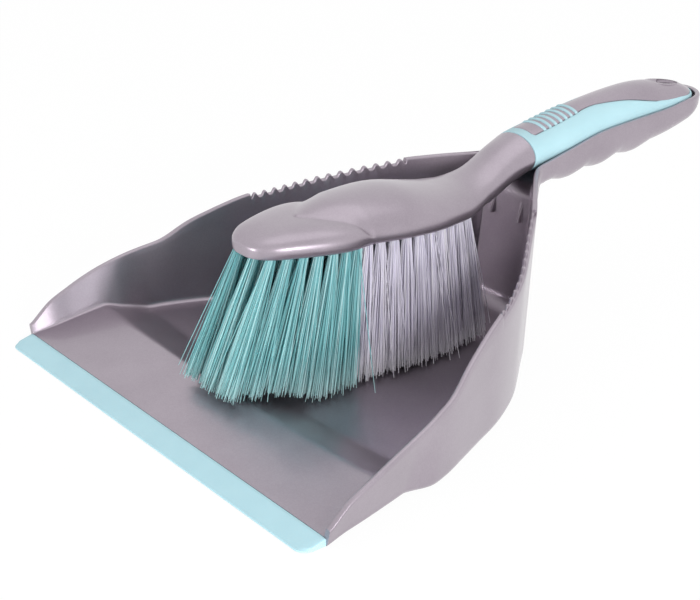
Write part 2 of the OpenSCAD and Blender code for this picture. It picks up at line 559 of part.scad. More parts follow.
// The tips spread: forwards in front of the head's middle, backwards behind it, and sideways.
lean_centre = 0.735;
function row_lean(k) = let (t = brush_t(row_y(k)) - lean_centre)
    t < 0 ? -front_lean * (-t / (lean_centre - row_start / head_l))^1.5
          : back_lean * (t / (1 - lean_centre))^1.5;
function side_spread(k) = 1.08 + 0.2 * max(0, 0.6 - brush_t(row_y(k)));
// The highest point of the pan's floor under a row's tips.
function floor_under(y) = y >= slope_end + tip_d ? floor_t : y <= crest_y + 2 ? crest_h : ramp_z(y - tip_d);
function tip_z(k) = let (y = row_y(k) + row_lean(k)) floor_under(y) + tip_gap + tip_d / 4;
function tuft_root(k, x) = [x, row_y(k), head_under(row_y(k))];
function tuft_tip(k, x) = [x * side_spread(k), row_y(k) + row_lean(k), tip_z(k)];
// A tuft and its hole share one straight axis: local Z runs from the head's underside to the tips.
module at_tuft(k, x) {
    d = tuft_tip(k, x) - tuft_root(k, x);
    translate(tuft_root(k, x)) rotate([0, acos(d[2] / norm(d)), atan2(d[1], d[0])]) children();
}
straight = 1.5; // length of a tuft under the head before it spreads
anchor_l = tuft_d - 0.3;
// The folded wire across a tuft's root, also the slot it takes up there.
module anchor(k, x, past) {
    at_tuft(k, x) translate([-anchor_t / 2, -anchor_l / 2, -hole_depth - past])
        cube([anchor_t, anchor_l, anchor_h + past]);
}
module tuft_row(k) {
    for (x = row_xs(k)) difference() {
        at_tuft(k, x) rotate_extrude($fn = bore_facets)
            polygon([[0, -hole_depth], [tuft_d / 2, -hole_depth], [tuft_d / 2, straight],
                     [tip_d / 2, norm(tuft_tip(k, x) - tuft_root(k, x))],
                     [0, norm(tuft_tip(k, x) - tuft_root(k, x))]]);
        anchor(k, x, cut);
    }
}
module tuft_anchors() {
    color(STEEL) for (k = [0:TEAL_ROWS + WHITE_ROWS - 1], x = row_xs(k)) anchor(k, x, 0);
}

in_frame() pan_body();
in_frame() pan_lip();
in_frame() brush_core();
in_frame() brush_grip();
in_frame() tuft_anchors();
for (k = [1:TEAL_ROWS]) in_frame() color(TEAL) tuft_row(k - 1);
for (k = [1:WHITE_ROWS]) in_frame() color(WHITE) tuft_row(TEAL_ROWS + k - 1);
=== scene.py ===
"""Dust pan and brush set: a hand brush resting in the handle of its dust pan.

Lengths in the classes are millimetres, measured from the front edge of the pan's lip along +Y,
and row_frame() moves them to the shared frame in metres.
"""
import logging
import math
from collections.abc import Callable, Iterable, Sequence
from dataclasses import dataclass
from enum import Enum
from functools import cached_property

import bmesh
import bpy
import numpy as np
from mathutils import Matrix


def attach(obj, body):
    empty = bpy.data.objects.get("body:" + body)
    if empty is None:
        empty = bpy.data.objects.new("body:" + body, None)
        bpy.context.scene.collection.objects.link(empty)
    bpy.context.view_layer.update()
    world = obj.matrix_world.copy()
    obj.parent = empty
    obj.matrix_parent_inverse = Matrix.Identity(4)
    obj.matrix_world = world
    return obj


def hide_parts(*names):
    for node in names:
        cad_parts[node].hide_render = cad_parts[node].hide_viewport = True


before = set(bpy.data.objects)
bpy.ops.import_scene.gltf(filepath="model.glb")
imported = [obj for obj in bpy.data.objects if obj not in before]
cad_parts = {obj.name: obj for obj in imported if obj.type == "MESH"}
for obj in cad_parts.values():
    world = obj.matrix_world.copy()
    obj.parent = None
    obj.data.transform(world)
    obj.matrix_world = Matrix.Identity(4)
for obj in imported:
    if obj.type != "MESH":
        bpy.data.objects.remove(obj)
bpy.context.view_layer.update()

LOG = logging.getLogger("dust_pan_set")
MM = 0.001
SET_L = 330.0  # length of the whole set
FLAT_FROM = 80.0  # angle in degrees at which a rounded end turns flat
QUARTER = np.radians((0, 30, 60, 90))  # a small rounding, in three steps
MIX_A, MIX_B, MIX_OUT = 6, 7, 2  # a Mix node's colour inputs and output
Points = np.ndarray
Faces = list[tuple[int, ...]]


class Body(Enum):
    """The two loose bodies of the set."""

    PAN = "pan"
    BRUSH = "brush"


class Slot(Enum):
    """The record's material slots, listed with the drawn pieces."""

    GREY = "grey_plastic"
    LIP = "lip_rubber"
    GRIP = "grip_rubber"
    TEAL = "teal_bristles"
    WHITE = "white_bristles"


class Cut(Enum):
    """What a second solid does to a piece."""

    AWAY = "DIFFERENCE"
    JOIN = "UNION"


# ---- Colours and nodes --------------------------------------------------------------------
def linear(colour: str) -> tuple[float, float, float, float]:
    """Turns an sRGB hex colour to the linear one that a shader takes.

    Args:
        colour: Six hex digits after a hash sign.

    Returns:
        Red, green, blue and alpha.
    """
    parts = [int(colour[i:i + 2], 16) / 255 for i in (1, 3, 5)]
    parts = [c / 12.92 if c <= 0.04045 else ((c + 0.055) / 1.055) ** 2.4 for c in parts]
    return (*parts, 1.0)


def add_node(tree: bpy.types.NodeTree, kind: str, inputs: dict | None = None,
             **settings: object) -> bpy.types.Node:
    """Adds a node, with its settings and what feeds it.

    Args:
        tree: The node tree that gets the node.
        kind: Blender's name for the node type.
        inputs: Input name or number to an output socket, which is linked, or to a plain value.
        **settings: The node's own properties.

    Returns:
        The new node.
    """
    made = tree.nodes.new(kind)
    for name, value in settings.items():
        setattr(made, name, value)
    for key, value in (inputs or {}).items():
        if isinstance(value, bpy.types.NodeSocket):
            tree.links.new(value, made.inputs[key])
        else:
            made.inputs[key].default_value = value
    return made


def new_material(name: str) -> tuple[bpy.types.Material, bpy.types.NodeTree]:
    """Starts an empty material.

    Args:
        name: The material's name.

    Returns:
        The material and its node tree.
    """
    material = bpy.data.materials.new(name)
    material.use_nodes = True
    material.node_tree.nodes.clear()
    return material, material.node_tree


def per_metre(size: float) -> float:
    """The pattern scale that makes one repeat this many millimetres long."""
    return 1 / (size * MM)


def looked_at(tree: bpy.types.NodeTree) -> bpy.types.NodeSocket:
    """Tells what the eye, a glossy skin or glass looks at from what only sends light.

    Args:
        tree: The node tree of the backdrop or the surroundings.

    Returns:
        The output that is 1 for a look and 0 for light.
    """
    rays = add_node(tree, "ShaderNodeLightPath").outputs
    eye_or_gloss = add_node(tree, "ShaderNodeMath", {
        0: rays["Is Camera Ray"], 1: rays["Is Glossy Ray"]}, operation="MAXIMUM")
    return add_node(tree, "ShaderNodeMath", {
        0: eye_or_gloss.outputs[0], 1: rays["Is Transmission Ray"]},
        operation="MAXIMUM").outputs[0]


# ---- Finishes -----------------------------------------------------------------------------
@dataclass(frozen=True)
class PearlPolypropylene:
    """Injection-moulded polypropylene with pearl pigment.

    The flakes lie along the surface, so the grey has a soft metallic sheen that mirrors pale
    surroundings on the outside and goes dark inside the pan.
    """

    name: str = "Pearl polypropylene, injection moulded"
    light: str = "#a89ea8"
    dark: str = "#9b919b"
    metallic: float = 0.85
    roughness: float = 0.34
    smoother: float = 0.04  # how far the roughness drifts down from place to place
    rougher: float = 0.05  # and up
    coat: float = 0.4
    coat_roughness: float = 0.07
    flake: float = 0.5  # real flakes are about 0.05 mm, drawn coarser so that they show
    flake_light: float = 0.3  # how much a flake's own light counts beside the clouds
    flake_height: float = 0.12  # how much it counts beside the ripple
    darkest: float = 0.3  # level of flake and cloud at which the colour is the dark one
    cloud: float = 22.0  # how far apart the moulding's soft colour changes lie
    peel: float = 1.6  # ripple of the moulded skin
    peel_depth: float = 0.05
    peel_strength: float = 0.12

    def make(self) -> bpy.types.Material:
        """Builds the material.

        Returns:
            The material.
        """
        material, tree = new_material(self.name)
        place = add_node(tree, "ShaderNodeTexCoord").outputs["Object"]
        flakes = add_node(tree, "ShaderNodeTexVoronoi",
                          {"Vector": place, "Scale": per_metre(self.flake)})
        clouds = add_node(tree, "ShaderNodeTexNoise",
                          {"Vector": place, "Scale": per_metre(self.cloud), "Detail": 3.0})
        sparkle = add_node(tree, "ShaderNodeSeparateColor", {"Color": flakes.outputs["Color"]})
        blend = add_node(tree, "ShaderNodeMath",
                         {0: sparkle.outputs["Red"], 1: self.flake_light,
                          2: clouds.outputs["Fac"]}, operation="MULTIPLY_ADD")
        level = add_node(tree, "ShaderNodeMapRange", {
            "Value": blend.outputs[0], "From Min": self.darkest, "From Max": 1.0})
        colour = add_node(tree, "ShaderNodeMix", {
            0: level.outputs[0], MIX_A: linear(self.dark), MIX_B: linear(self.light)},
            data_type="RGBA")
        gloss = add_node(tree, "ShaderNodeMapRange", {
            "Value": clouds.outputs["Fac"], "To Min": self.roughness - self.smoother,
            "To Max": self.roughness + self.rougher})
        ripple = add_node(tree, "ShaderNodeTexNoise",
                          {"Vector": place, "Scale": per_metre(self.peel), "Detail": 2.0})
        height = add_node(tree, "ShaderNodeMath", {
            0: sparkle.outputs["Green"], 1: self.flake_height, 2: ripple.outputs["Fac"]},
            operation="MULTIPLY_ADD")
        bump = add_node(tree, "ShaderNodeBump", {
            "Height": height.outputs[0], "Strength": self.peel_strength,
            "Distance": self.peel_depth * MM})
        shader = add_node(tree, "ShaderNodeBsdfPrincipled", {
            "Base Color": colour.outputs[MIX_OUT], "Metallic": self.metallic,
            "Roughness": gloss.outputs[0], "Coat Weight": self.coat,
            "Coat Roughness": self.coat_roughness, "Normal": bump.outputs[0]})
        add_node(tree, "ShaderNodeOutputMaterial", {"Surface": shader.outputs[0]})
        return material


@dataclass(frozen=True)
class SoftRubber:
    """Overmoulded thermoplastic rubber.

    Its skin is matt with a fine spark-eroded grain, and thin edges let a little light through.
    """

    name: str
    light: str
    dark: str
    roughness: float = 0.52
    uneven: float = 0.08  # how far the roughness drifts up and down over the grain
    specular: float = 0.4
    grain: float = 0.6  # the real grain is about 0.1 mm, drawn coarser so that it shows
    grain_depth: float = 0.05
    grain_strength: float = 0.25
    cloud: float = 14.0  # how far apart its soft colour changes lie
    glow: float = 0.12  # share of the light that goes under the skin
    glow_depth: float = 2.0
    glow_reach: tuple[float, float, float] = (0.6, 0.9, 1.0)  # red, green and blue under the skin

    def make(self) -> bpy.types.Material:
        """Builds the material.

        Returns:
            The material.
        """
        material, tree = new_material(self.name)
        place = add_node(tree, "ShaderNodeTexCoord").outputs["Object"]
        clouds = add_node(tree, "ShaderNodeTexNoise",
                          {"Vector": place, "Scale": per_metre(self.cloud), "Detail": 4.0})
        colour = add_node(tree, "ShaderNodeMix", {
            0: clouds.outputs["Fac"], MIX_A: linear(self.dark), MIX_B: linear(self.light)},
            data_type="RGBA")
        grain = add_node(tree, "ShaderNodeTexNoise",
                         {"Vector": place, "Scale": per_metre(self.grain), "Detail": 2.0})
        gloss = add_node(tree, "ShaderNodeMapRange", {
            "Value": grain.outputs["Fac"], "To Min": self.roughness - self.uneven,
            "To Max": self.roughness + self.uneven})
        bump = add_node(tree, "ShaderNodeBump", {
            "Height": grain.outputs["Fac"], "Strength": self.grain_strength,
            "Distance": self.grain_depth * MM})
        shader = add_node(tree, "ShaderNodeBsdfPrincipled", {
            "Base Color": colour.outputs[MIX_OUT], "Roughness": gloss.outputs[0],
            "Specular IOR Level": self.specular, "Subsurface Weight": self.glow,
            "Subsurface Radius": self.glow_reach, "Subsurface Scale": self.glow_depth * MM,
            "Normal": bump.outputs[0]})
        add_node(tree, "ShaderNodeOutputMaterial", {"Surface": shader.outputs[0]})
        return material


@dataclass(frozen=True)
class PolyesterFilament:
    """Drawn polyester filament, crimped a little and split at the tips.

    Each filament is smooth and slightly translucent, so a tuft shows fine bright lines along
    it, deep shade between filaments, and paler tips. The colour is painted darker near the head
    as painted shade under the head, and some filaments are painted paler, partly random tone and
    partly painted highlight.
    """

    name: str
    # The root's colour is darker than the body's: painted shade under the head.
    root: str
    body: str
    tip: str
    spread: float = 0.25  # how much one filament differs from the next
    # Paler filaments: partly random tone, partly painted highlight.
    pale_and_highlight_share: float = 0.45  # share of the filaments that are paler
    roughness: float = 0.34
    specular: float = 0.6
    through: float = 0.5  # share of the light that passes through a filament
    tips: tuple[float, float] = (26.0, 5.0)  # heights over which the colour turns to the tip's
    # Heights over which the colour darkens to the root's: painted shade under the head.
    root_shade_heights: tuple[float, float] = (44.0, 66.0)  # heights over which it turns to the root's

    def make(self) -> bpy.types.Material:
        """Builds the material.

        Returns:
            The material.
        """
        material, tree = new_material(self.name)
        place = add_node(tree, "ShaderNodeTexCoord").outputs["Object"]
        height = add_node(tree, "ShaderNodeSeparateXYZ", {0: place}).outputs["Z"]
        chance = add_node(tree, "ShaderNodeNewGeometry").outputs["Random Per Island"]
        near_tip = add_node(tree, "ShaderNodeMapRange", {
            "Value": height, "From Min": self.tips[0] * MM, "From Max": self.tips[1] * MM})
        # Darker towards the head: painted shade under the head.
        root_shade_mask = add_node(tree, "ShaderNodeMapRange", {
            "Value": height, "From Min": self.root_shade_heights[0] * MM, "From Max": self.root_shade_heights[1] * MM})
        pale = add_node(tree, "ShaderNodeMix", {
            0: near_tip.outputs[0], MIX_A: linear(self.body), MIX_B: linear(self.tip)},
            data_type="RGBA")
        with_root_shade = add_node(tree, "ShaderNodeMix", {
            0: root_shade_mask.outputs[0], MIX_A: pale.outputs[MIX_OUT], MIX_B: linear(self.root)},
            data_type="RGBA")
        # Some filaments turn to the pale tip colour: partly random tone, partly painted highlight.
        pale_and_highlight_mask = add_node(tree, "ShaderNodeMapRange", {
            "Value": chance, "From Min": 1 - self.pale_and_highlight_share, "From Max": 1.0})
        mixed = add_node(tree, "ShaderNodeMix", {
            0: pale_and_highlight_mask.outputs[0], MIX_A: with_root_shade.outputs[MIX_OUT], MIX_B: linear(self.tip)},
            data_type="RGBA")
        vary = add_node(tree, "ShaderNodeMapRange", {
            "Value": chance, "To Min": 1 - self.spread, "To Max": 1.0})
        colour = add_node(tree, "ShaderNodeHueSaturation", {
            "Color": mixed.outputs[MIX_OUT], "Value": vary.outputs[0]})
        skin = add_node(tree, "ShaderNodeBsdfPrincipled", {
            "Base Color": colour.outputs[0], "Roughness": self.roughness,
            "Specular IOR Level": self.specular})
        inner = add_node(tree, "ShaderNodeBsdfTranslucent", {"Color": colour.outputs[0]})
        both = add_node(tree, "ShaderNodeMixShader", {
            0: self.through, 1: skin.outputs[0], 2: inner.outputs[0]})
        add_node(tree, "ShaderNodeOutputMaterial", {"Surface": both.outputs[0]})
        return material


@dataclass(frozen=True)
class DrawnSteelWire:
    """Drawn steel wire: bright, with fine lines along it from the die."""

    name: str = "Steel wire, drawn"
    colour: str = "#b8bbc0"
    smooth: float = 0.22  # roughness between the die's lines
    rough: float = 0.4  # roughness on them
    line: float = 0.4  # real lines are about 0.02 mm apart, drawn coarser so that they show

    def make(self) -> bpy.types.Material:
        """Builds the material.

        Returns:
            The material.
        """
        material, tree = new_material(self.name)
        place = add_node(tree, "ShaderNodeTexCoord").outputs["Object"]
        lines = add_node(tree, "ShaderNodeTexNoise", {
            "Vector": place, "Scale": per_metre(self.line), "Detail": 2.0})
        gloss = add_node(tree, "ShaderNodeMapRange", {
            "Value": lines.outputs["Fac"], "To Min": self.smooth, "To Max": self.rough})
        shader = add_node(tree, "ShaderNodeBsdfPrincipled", {
            "Base Color": linear(self.colour), "Metallic": 1.0, "Roughness": gloss.outputs[0]})
        add_node(tree, "ShaderNodeOutputMaterial", {"Surface": shader.outputs[0]})
        return material


@dataclass(frozen=True)
class StudioPaper:
    """White backdrop paper: shows white to the eye and in gloss, and keeps a faint shadow."""

    name: str = "Backdrop paper, matt white"
    colour: str = "#ffffff"
    shadow: float = 0.05  # how much of the shadow the eye sees

    def make(self) -> bpy.types.Material:
        """Builds the material.

        Returns:
            The material.
        """
        material, tree = new_material(self.name)
        share = add_node(tree, "ShaderNodeMath", {
            0: looked_at(tree), 1: 1 - self.shadow}, operation="MULTIPLY")
        matt = add_node(tree, "ShaderNodeBsdfDiffuse", {"Color": linear(self.colour)})
        glow = add_node(tree, "ShaderNodeEmission", {"Color": linear(self.colour)})
        both = add_node(tree, "ShaderNodeMixShader", {
            0: share.outputs[0], 1: matt.outputs[0], 2: glow.outputs[0]})
        add_node(tree, "ShaderNodeOutputMaterial", {"Surface": both.outputs[0]})
        return material


# ---- Meshes -------------------------------------------------------------------------------
def row_frame(points: Points) -> Points:
    """Moves points from the lip's front edge, in millimetres, to the shared frame in metres."""
    return (np.asarray(points, float) - (0, SET_L / 2, 0)) * MM


def tube_faces(rings: int, around: int) -> Faces:
    """Quads between neighbouring closed rings.

    Args:
        rings: Number of rings.
        around: Points in each ring.

    Returns:
        The faces, with ring i's points numbered from i * around.
    """
    return [(i * around + j, (i + 1) * around + j, (i + 1) * around + (j + 1) % around,
             i * around + (j + 1) % around) for i in range(rings - 1) for j in range(around)]


def closed_tube(rings: Points) -> tuple[Points, Faces]:
    """A solid from a row of closed rings, flat at both ends.

    Args:
        rings: The rings' points, in an array of rings by points by three.

    Returns:
        Its points and faces.
    """
    count, around = rings.shape[:2]
    last = (count - 1) * around
    ends = [tuple(range(around)), tuple(range(last, last + around))]
    return rings.reshape(-1, 3), tube_faces(count, around) + ends


def gathered(solids: Iterable[tuple[Points, Faces]]) -> tuple[Points, Faces]:
    """Puts several solids together, without joining them.

    Args:
        solids: Each solid's points and faces.

    Returns:
        The points and faces of them all.
    """
    points, faces, base = [], [], 0
    for some, sides in solids:
        points.append(some)
        faces += [tuple(base + i for i in side) for side in sides]
        base += len(some)
    return np.concatenate(points), faces


def both_halves(right: Points) -> Points:
    """Closed rings from half rings that start and end on the middle plane."""
    return np.concatenate((right, right[:, -2:0:-1] * (-1, 1, 1)), axis=1)


def show(name: str, data: bpy.types.ID) -> bpy.types.Object:
    """Puts a mesh, a lamp or a camera in the scene.

    Args:
        name: The object's name.
        data: What it shows.

    Returns:
        The object.
    """
    made = bpy.data.objects.new(name, data)
    bpy.context.scene.collection.objects.link(made)
    return made


def make_piece(name: str, points: Points, faces: Faces, finish: bpy.types.Material,
               sharp: float = 45.0) -> bpy.types.Object:
    """Makes an object from points and faces.

    Args:
        name: The object's name.
        points: Its points, in millimetres from the lip's front edge.
        faces: Its faces.
        finish: Its material.
        sharp: Edges that turn by more than this many degrees stay crisp.

    Returns:
        The object, linked to the scene.
    """
    mesh = bpy.data.meshes.new(name)
    mesh.from_pydata(row_frame(points).tolist(), [], faces)
    work = bmesh.new()
    work.from_mesh(mesh)
    bmesh.ops.recalc_face_normals(work, faces=work.faces)
    work.to_mesh(mesh)
    work.free()
    mesh.shade_smooth()
    mesh.set_sharp_from_angle(angle=math.radians(sharp))
    mesh.materials.append(finish)
    return show(name, mesh)


def combine(piece: bpy.types.Object, other: bpy.types.Object, how: Cut,
            sharp: float = 45.0) -> None:
    """Cuts another solid from a piece, or joins it on, and drops the other solid.

    Args:
        piece: The piece that changes.
        other: The solid that is used up.
        how: Whether it is cut away or joined.
        sharp: Edges that turn by more than this many degrees stay crisp.
    """
    step = piece.modifiers.new("Combine", "BOOLEAN")
    step.operation, step.object, step.solver = how.value, other, "MANIFOLD"
    made = bpy.data.meshes.new_from_object(
        piece.evaluated_get(bpy.context.evaluated_depsgraph_get()))
    old = piece.data
    piece.modifiers.clear()
    if not made.polygons:
        raise RuntimeError(f"{piece.name} and {other.name} don't combine")
    made.name = piece.name
    piece.data = made
    made.set_sharp_from_angle(angle=math.radians(sharp))
    bpy.data.meshes.remove(old)
    bpy.data.objects.remove(other)


def turned(profile: Sequence[tuple[float, float]], x: float, y: float,
           steps: int = 48) -> tuple[Points, Faces]:
    """A closed solid turned about an upright axis.

    Args:
        profile: (radius, height) pairs from the bottom up.
        x: The axis's place across the set.
        y: The axis's place along the set.
        steps: Points round the axis.

    Returns:
        Its points and faces.
    """
    angles = np.linspace(0, 2 * math.pi, steps, endpoint=False)
    return closed_tube(np.array([[(x + r * math.cos(a), y + r * math.sin(a), z)
                                  for a in angles] for r, z in profile]))


# ---- Lines that the pan and the brush are drawn from --------------------------------------
@dataclass(frozen=True)
class Curve:
    """A smooth line through a few points, given as (along, across) pairs."""

    points: tuple[tuple[float, float], ...]

    def at(self, u: Points) -> Points:
        """The line's height.

        Args:
            u: Places along the line; beyond its ends they count as the ends.

        Returns:
            The height at each place.
        """
        along, across = np.array(self.points).T
        slope = np.empty(len(along))
        slope[1:-1] = (across[2:] - across[:-2]) / (along[2:] - along[:-2])
        slope[0] = (across[1] - across[0]) / (along[1] - along[0])
        slope[-1] = (across[-1] - across[-2]) / (along[-1] - along[-2])
        u = np.asarray(u, float)
        i = np.clip(np.searchsorted(along, u, side="right") - 1, 0, len(along) - 2)
        h = along[i + 1] - along[i]
        s = np.clip((u - along[i]) / h, 0, 1)
        return ((2 * s**3 - 3 * s**2 + 1) * across[i] + (s**3 - 2 * s**2 + s) * h * slope[i]
                + (3 * s**2 - 2 * s**3) * across[i + 1] + (s**3 - s**2) * h * slope[i + 1])


@dataclass(frozen=True)
class Eased:
    """A function of the place along the set, with the corners between its pieces eased."""

    start: float
    step: float
    values: Points

    @classmethod
    def of(cls, line: Callable[[Points], Points], start: float, end: float,
           ease: float) -> "Eased":
        """Samples a line and eases its corners.

        Args:
            line: The line.
            start: Where it starts.
            end: Where it ends.
            ease: How far each corner is spread, as a Gaussian's width.

        Returns:
            The eased line.
        """
        step = 0.2
        places = np.arange(start, end + step, step)
        reach = int(4 * ease / step)  # samples to where the Gaussian has died away
        kernel = np.exp(-0.5 * (np.arange(-reach, reach + 1) * step / ease) ** 2)
        padded = np.pad(line(places), reach, mode="reflect", reflect_type="odd")
        return cls(start, step, np.convolve(padded, kernel / kernel.sum(), mode="valid"))

    def at(self, y: Points) -> Points:
        """The line's value at each place."""
        return np.interp((np.asarray(y, float) - self.start) / self.step,
                         np.arange(len(self.values)), self.values)


def ramp_up(x: Points, low: float, high: float) -> Points:
    """A soft step from 0 at low to 1 at high."""
    s = np.clip((np.asarray(x, float) - low) / (high - low), 0, 1)
    return s * s * (3 - 2 * s)


def blunt_end(y: Points, end: float, start: float, angle: float = FLAT_FROM) -> Points:
    """A rounded end in plan, flat from some angle on.

    Args:
        y: Places along the set.
        end: Where the end is.
        start: Where its rounding starts.
        angle: Where the rounding turns flat, in degrees.

    Returns:
        The share of the full width at each place.
    """
    along = np.maximum(0, (np.asarray(y, float) - start) / (end - start))
    return np.sqrt(np.maximum(0, 1 - (math.sin(math.radians(angle)) * along) ** 2))


def arc(y: float, z: float, r: float, start: float, end: float, steps: int) -> Points:
    """Points on an arc in the set's side view.

    Args:
        y: Its centre along the set.
        z: Its centre's height.
        r: Its radius.
        start: Its first angle in degrees, 0 towards the handle and 90 up.
        end: Its last angle in degrees.
        steps: Steps along it.

    Returns:
        (y, z) pairs.
    """
    a = np.radians(np.linspace(start, end, steps + 1))
    return np.column_stack((y + r * np.cos(a), z + r * np.sin(a)))


# ---- Pan ----------------------------------------------------------------------------------
@dataclass
class Pan:
    """The dust pan: one moulding with its ramp, comb and handle, and the soft strip."""

    width: float = 228.0
    basin_l: float = 209.0
    rim_h: float = 76.5
    wall: float = 2.5
    floor: float = 3.0
    floor_in: float = 8.0  # how far inside the rims the floor ends
    mouth_flare: float = 0.23
    back_flare: float = 0.045
    foot_r: float = 5.0
    inner_r: float = 3.0
    handle_r: float = 13.0
    crest_y: float = 47.0
    crest_bow: float = 4.5  # how much nearer to the lip the crest is in its middle
    crest_h: float = 10.0
    slope_l: float = 21.0
    skirt_lift: float = 2.0
    lip_l: float = 11.1
    lip_h: float = 3.5
    lip_edge: float = 0.8
    lip_inset: float = 2.5
    lip_corner: float = 5.0
    lip_ends: float = 0.35  # how far the strip's ends are rounded over
    comb_teeth: int = 14
    comb_pitch: float = 4.3
    tooth_w: float = 1.0
    tooth_h: float = 2.1
    tooth_flank: float = 1.0
    tooth_foot: float = 0.2  # how much further the flank runs out
    comb_ease: float = 0.3
    comb_step: tuple[float, float] = (0.42, 0.56)  # shares of the rim between which teeth rise
    comb_back: float = 32.0
    channel_w: float = 34.0
    channel_h: float = 11.0
    bumps: int = 3
    bump_from: float = 13.0  # how far behind the basin they start
    bump_l: float = 22.5
    bump_h: float = 2.8
    hang_d: float = 9.0
    hang_y: float = 312.0
    blend_l: float = 12.0  # length over which the basin's foot rounding turns to the handle's
    end_round: float = 15.0
    end_lip: float = 3.0  # how far the channel's floor stays under the rim at its end
    narrow: float = 2.5
    back_r: float = 13.0
    mouth_r: float = 6.0
    mouth_back: float = 6.0  # how far behind the basin the back wall's top turns level
    back_tilt: float = 6.0
    rim_round: float = 0.9
    wedge_x: float = 9.0  # where the wedge ribs stand on the back wall, either side
    wedge_low: float = 17.0  # how far under the handle's start their feet are
    wedge_h: float = 9.0
    wedge_w: float = 2.0
    wedge_out: float = 2.2
    plan: Curve = Curve((
        (0, 1), (0.118, 1), (0.208, 0.99), (0.287, 0.966), (0.346, 0.931), (0.406, 0.887),
        (0.515, 0.792), (0.574, 0.741), (0.633, 0.675), (0.693, 0.593), (0.747, 0.498),
        (0.802, 0.396), (0.861, 0.288), (0.901, 0.2), (0.951, 0.094), (0.976, 0.043), (1, 0)))
    rim: Curve = Curve((
        (0.054, 0.097), (0.096, 0.196), (0.114, 0.226), (0.148, 0.268), (0.178, 0.305),
        (0.218, 0.348), (0.267, 0.391), (0.317, 0.428), (0.351, 0.451), (0.366, 0.461),
        (0.386, 0.485), (0.435, 0.569), (0.485, 0.63), (0.525, 0.673), (0.564, 0.707),
        (0.614, 0.735), (0.683, 0.788), (0.772, 0.866), (0.822, 0.906), (0.861, 0.934),
        (0.921, 0.969), (1, 1)))
    channel_rim: Curve = Curve((
        (0, 0), (0.16, 0.36), (0.34, 0.75), (0.5, 0.86), (0.75, 0.95), (0.88, 1.1), (1, 1.12)))
    channel_floor: Curve = Curve((
        (0, 0), (0.08, 0.07), (0.3, 0.12), (0.5, 0.31), (0.7, 0.46), (0.84, 0.76), (0.93, 1.13),
        (1, 1.64)))
    flare_share: Curve = Curve((
        (0, 1), (0.257, 1), (0.287, 0.7), (0.307, 0.4), (0.332, 0.14), (0.366, 0.05),
        (0.426, 0), (1, 0)))
    bow_fade: float = 30.0  # length behind the slope over which the bow runs out

    @property
    def handle_base(self) -> float:
        """Height of the handle's underside where it starts."""
        return self.rim_h - self.channel_h

    @property
    def slope_end(self) -> float:
        """Where the ramp's back slope meets the floor."""
        return self.crest_y + self.slope_l

    @property
    def comb_end(self) -> float:
        """Where the comb ends."""
        return self.basin_l - self.comb_back + self.comb_pitch / 2

    @property
    def comb_start(self) -> float:
        """Where the comb starts."""
        return self.comb_end - self.comb_teeth * self.comb_pitch

    def along_handle(self, y: Points) -> Points:
        """Share of the handle's length at each place."""
        return (np.asarray(y, float) - self.basin_l) / (SET_L - self.basin_l)

    def channel_half(self, y: Points) -> Points:
        """Half width of the handle at each place."""
        return self.channel_w / 2 - self.narrow * np.maximum(0, self.along_handle(y)) ** 2

    @cached_property
    def rim_half(self) -> Eased:
        """Half width over the rims.

        Returns:
            The half width along the pan.
        """
        def line(y: Points) -> Points:
            """The half width before easing.

            Args:
                y: Places along the set.

            Returns:
                The half width at each place.
            """
            basin = self.channel_w / 2 + (self.width - self.channel_w) / 2 * np.minimum(
                1, self.plan.at(y / self.basin_l))
            return np.where(y < self.basin_l, basin, self.channel_half(y))
        return Eased.of(line, 0, SET_L, ease=2.2)

    @cached_property
    def rim_line(self) -> Eased:
        """Height of the rim before the comb is cut.

        Returns:
            The height along the pan.
        """
        def line(y: Points) -> Points:
            """The height before easing.

            Args:
                y: Places along the set.

            Returns:
                The height at each place.
            """
            basin = self.rim_h * self.rim.at(y / self.basin_l)
            handle = self.rim_h + self.channel_h * self.channel_rim.at(self.along_handle(y))
            return np.where(y < self.basin_l, basin, handle)
        return Eased.of(line, 0, SET_L, ease=1.0)

    @cached_property
    def under(self) -> Eased:
        """Height of the handle's underside, without its bumps."""
        return Eased.of(lambda y: self.handle_base
                        + self.channel_h * self.channel_floor.at(self.along_handle(y)),
                        0, SET_L, ease=2.0)

    @cached_property
    def bump(self) -> Eased:
        """Depth of the finger bumps under the handle.

        Returns:
            The depth along the pan.
        """
        start = self.basin_l + self.bump_from

        def line(y: Points) -> Points:
            """The bumps before easing.

            Args:
                y: Places along the set.

            Returns:
                Their depth at each place.
            """
            inside = (y >= start) & (y <= start + self.bumps * self.bump_l)
            wave = np.abs(np.sin(math.pi * (y - start) / self.bump_l))
            return np.where(inside, self.bump_h * wave, 0)
        return Eased.of(line, 0, SET_L, ease=0.5)

    @cached_property
    def ramp(self) -> Eased:
        """Height of the ramp's and floor's upper face.

        Returns:
            The height along the pan.
        """
        def line(y: Points) -> Points:
            """The ramp before easing.

            Args:
                y: Places along the set.

            Returns:
                Its height at each place.
            """
            rise, run = self.crest_h - self.lip_h, self.crest_y - self.lip_l
            up = self.lip_h + rise * (y - self.lip_l) / run
            down = self.crest_h + (self.floor - self.crest_h) * np.minimum(
                1, (y - self.crest_y) / self.slope_l)
            return np.where(y <= self.crest_y, up, down)
        return Eased.of(line, 0, SET_L, ease=1.3)

    @cached_property
    def skirt(self) -> Eased:
        """Height of the walls' lower edge.

        Returns:
            The height along the pan.
        """
        top, end = self.crest_y + self.slope_l / 3, self.slope_end + 1

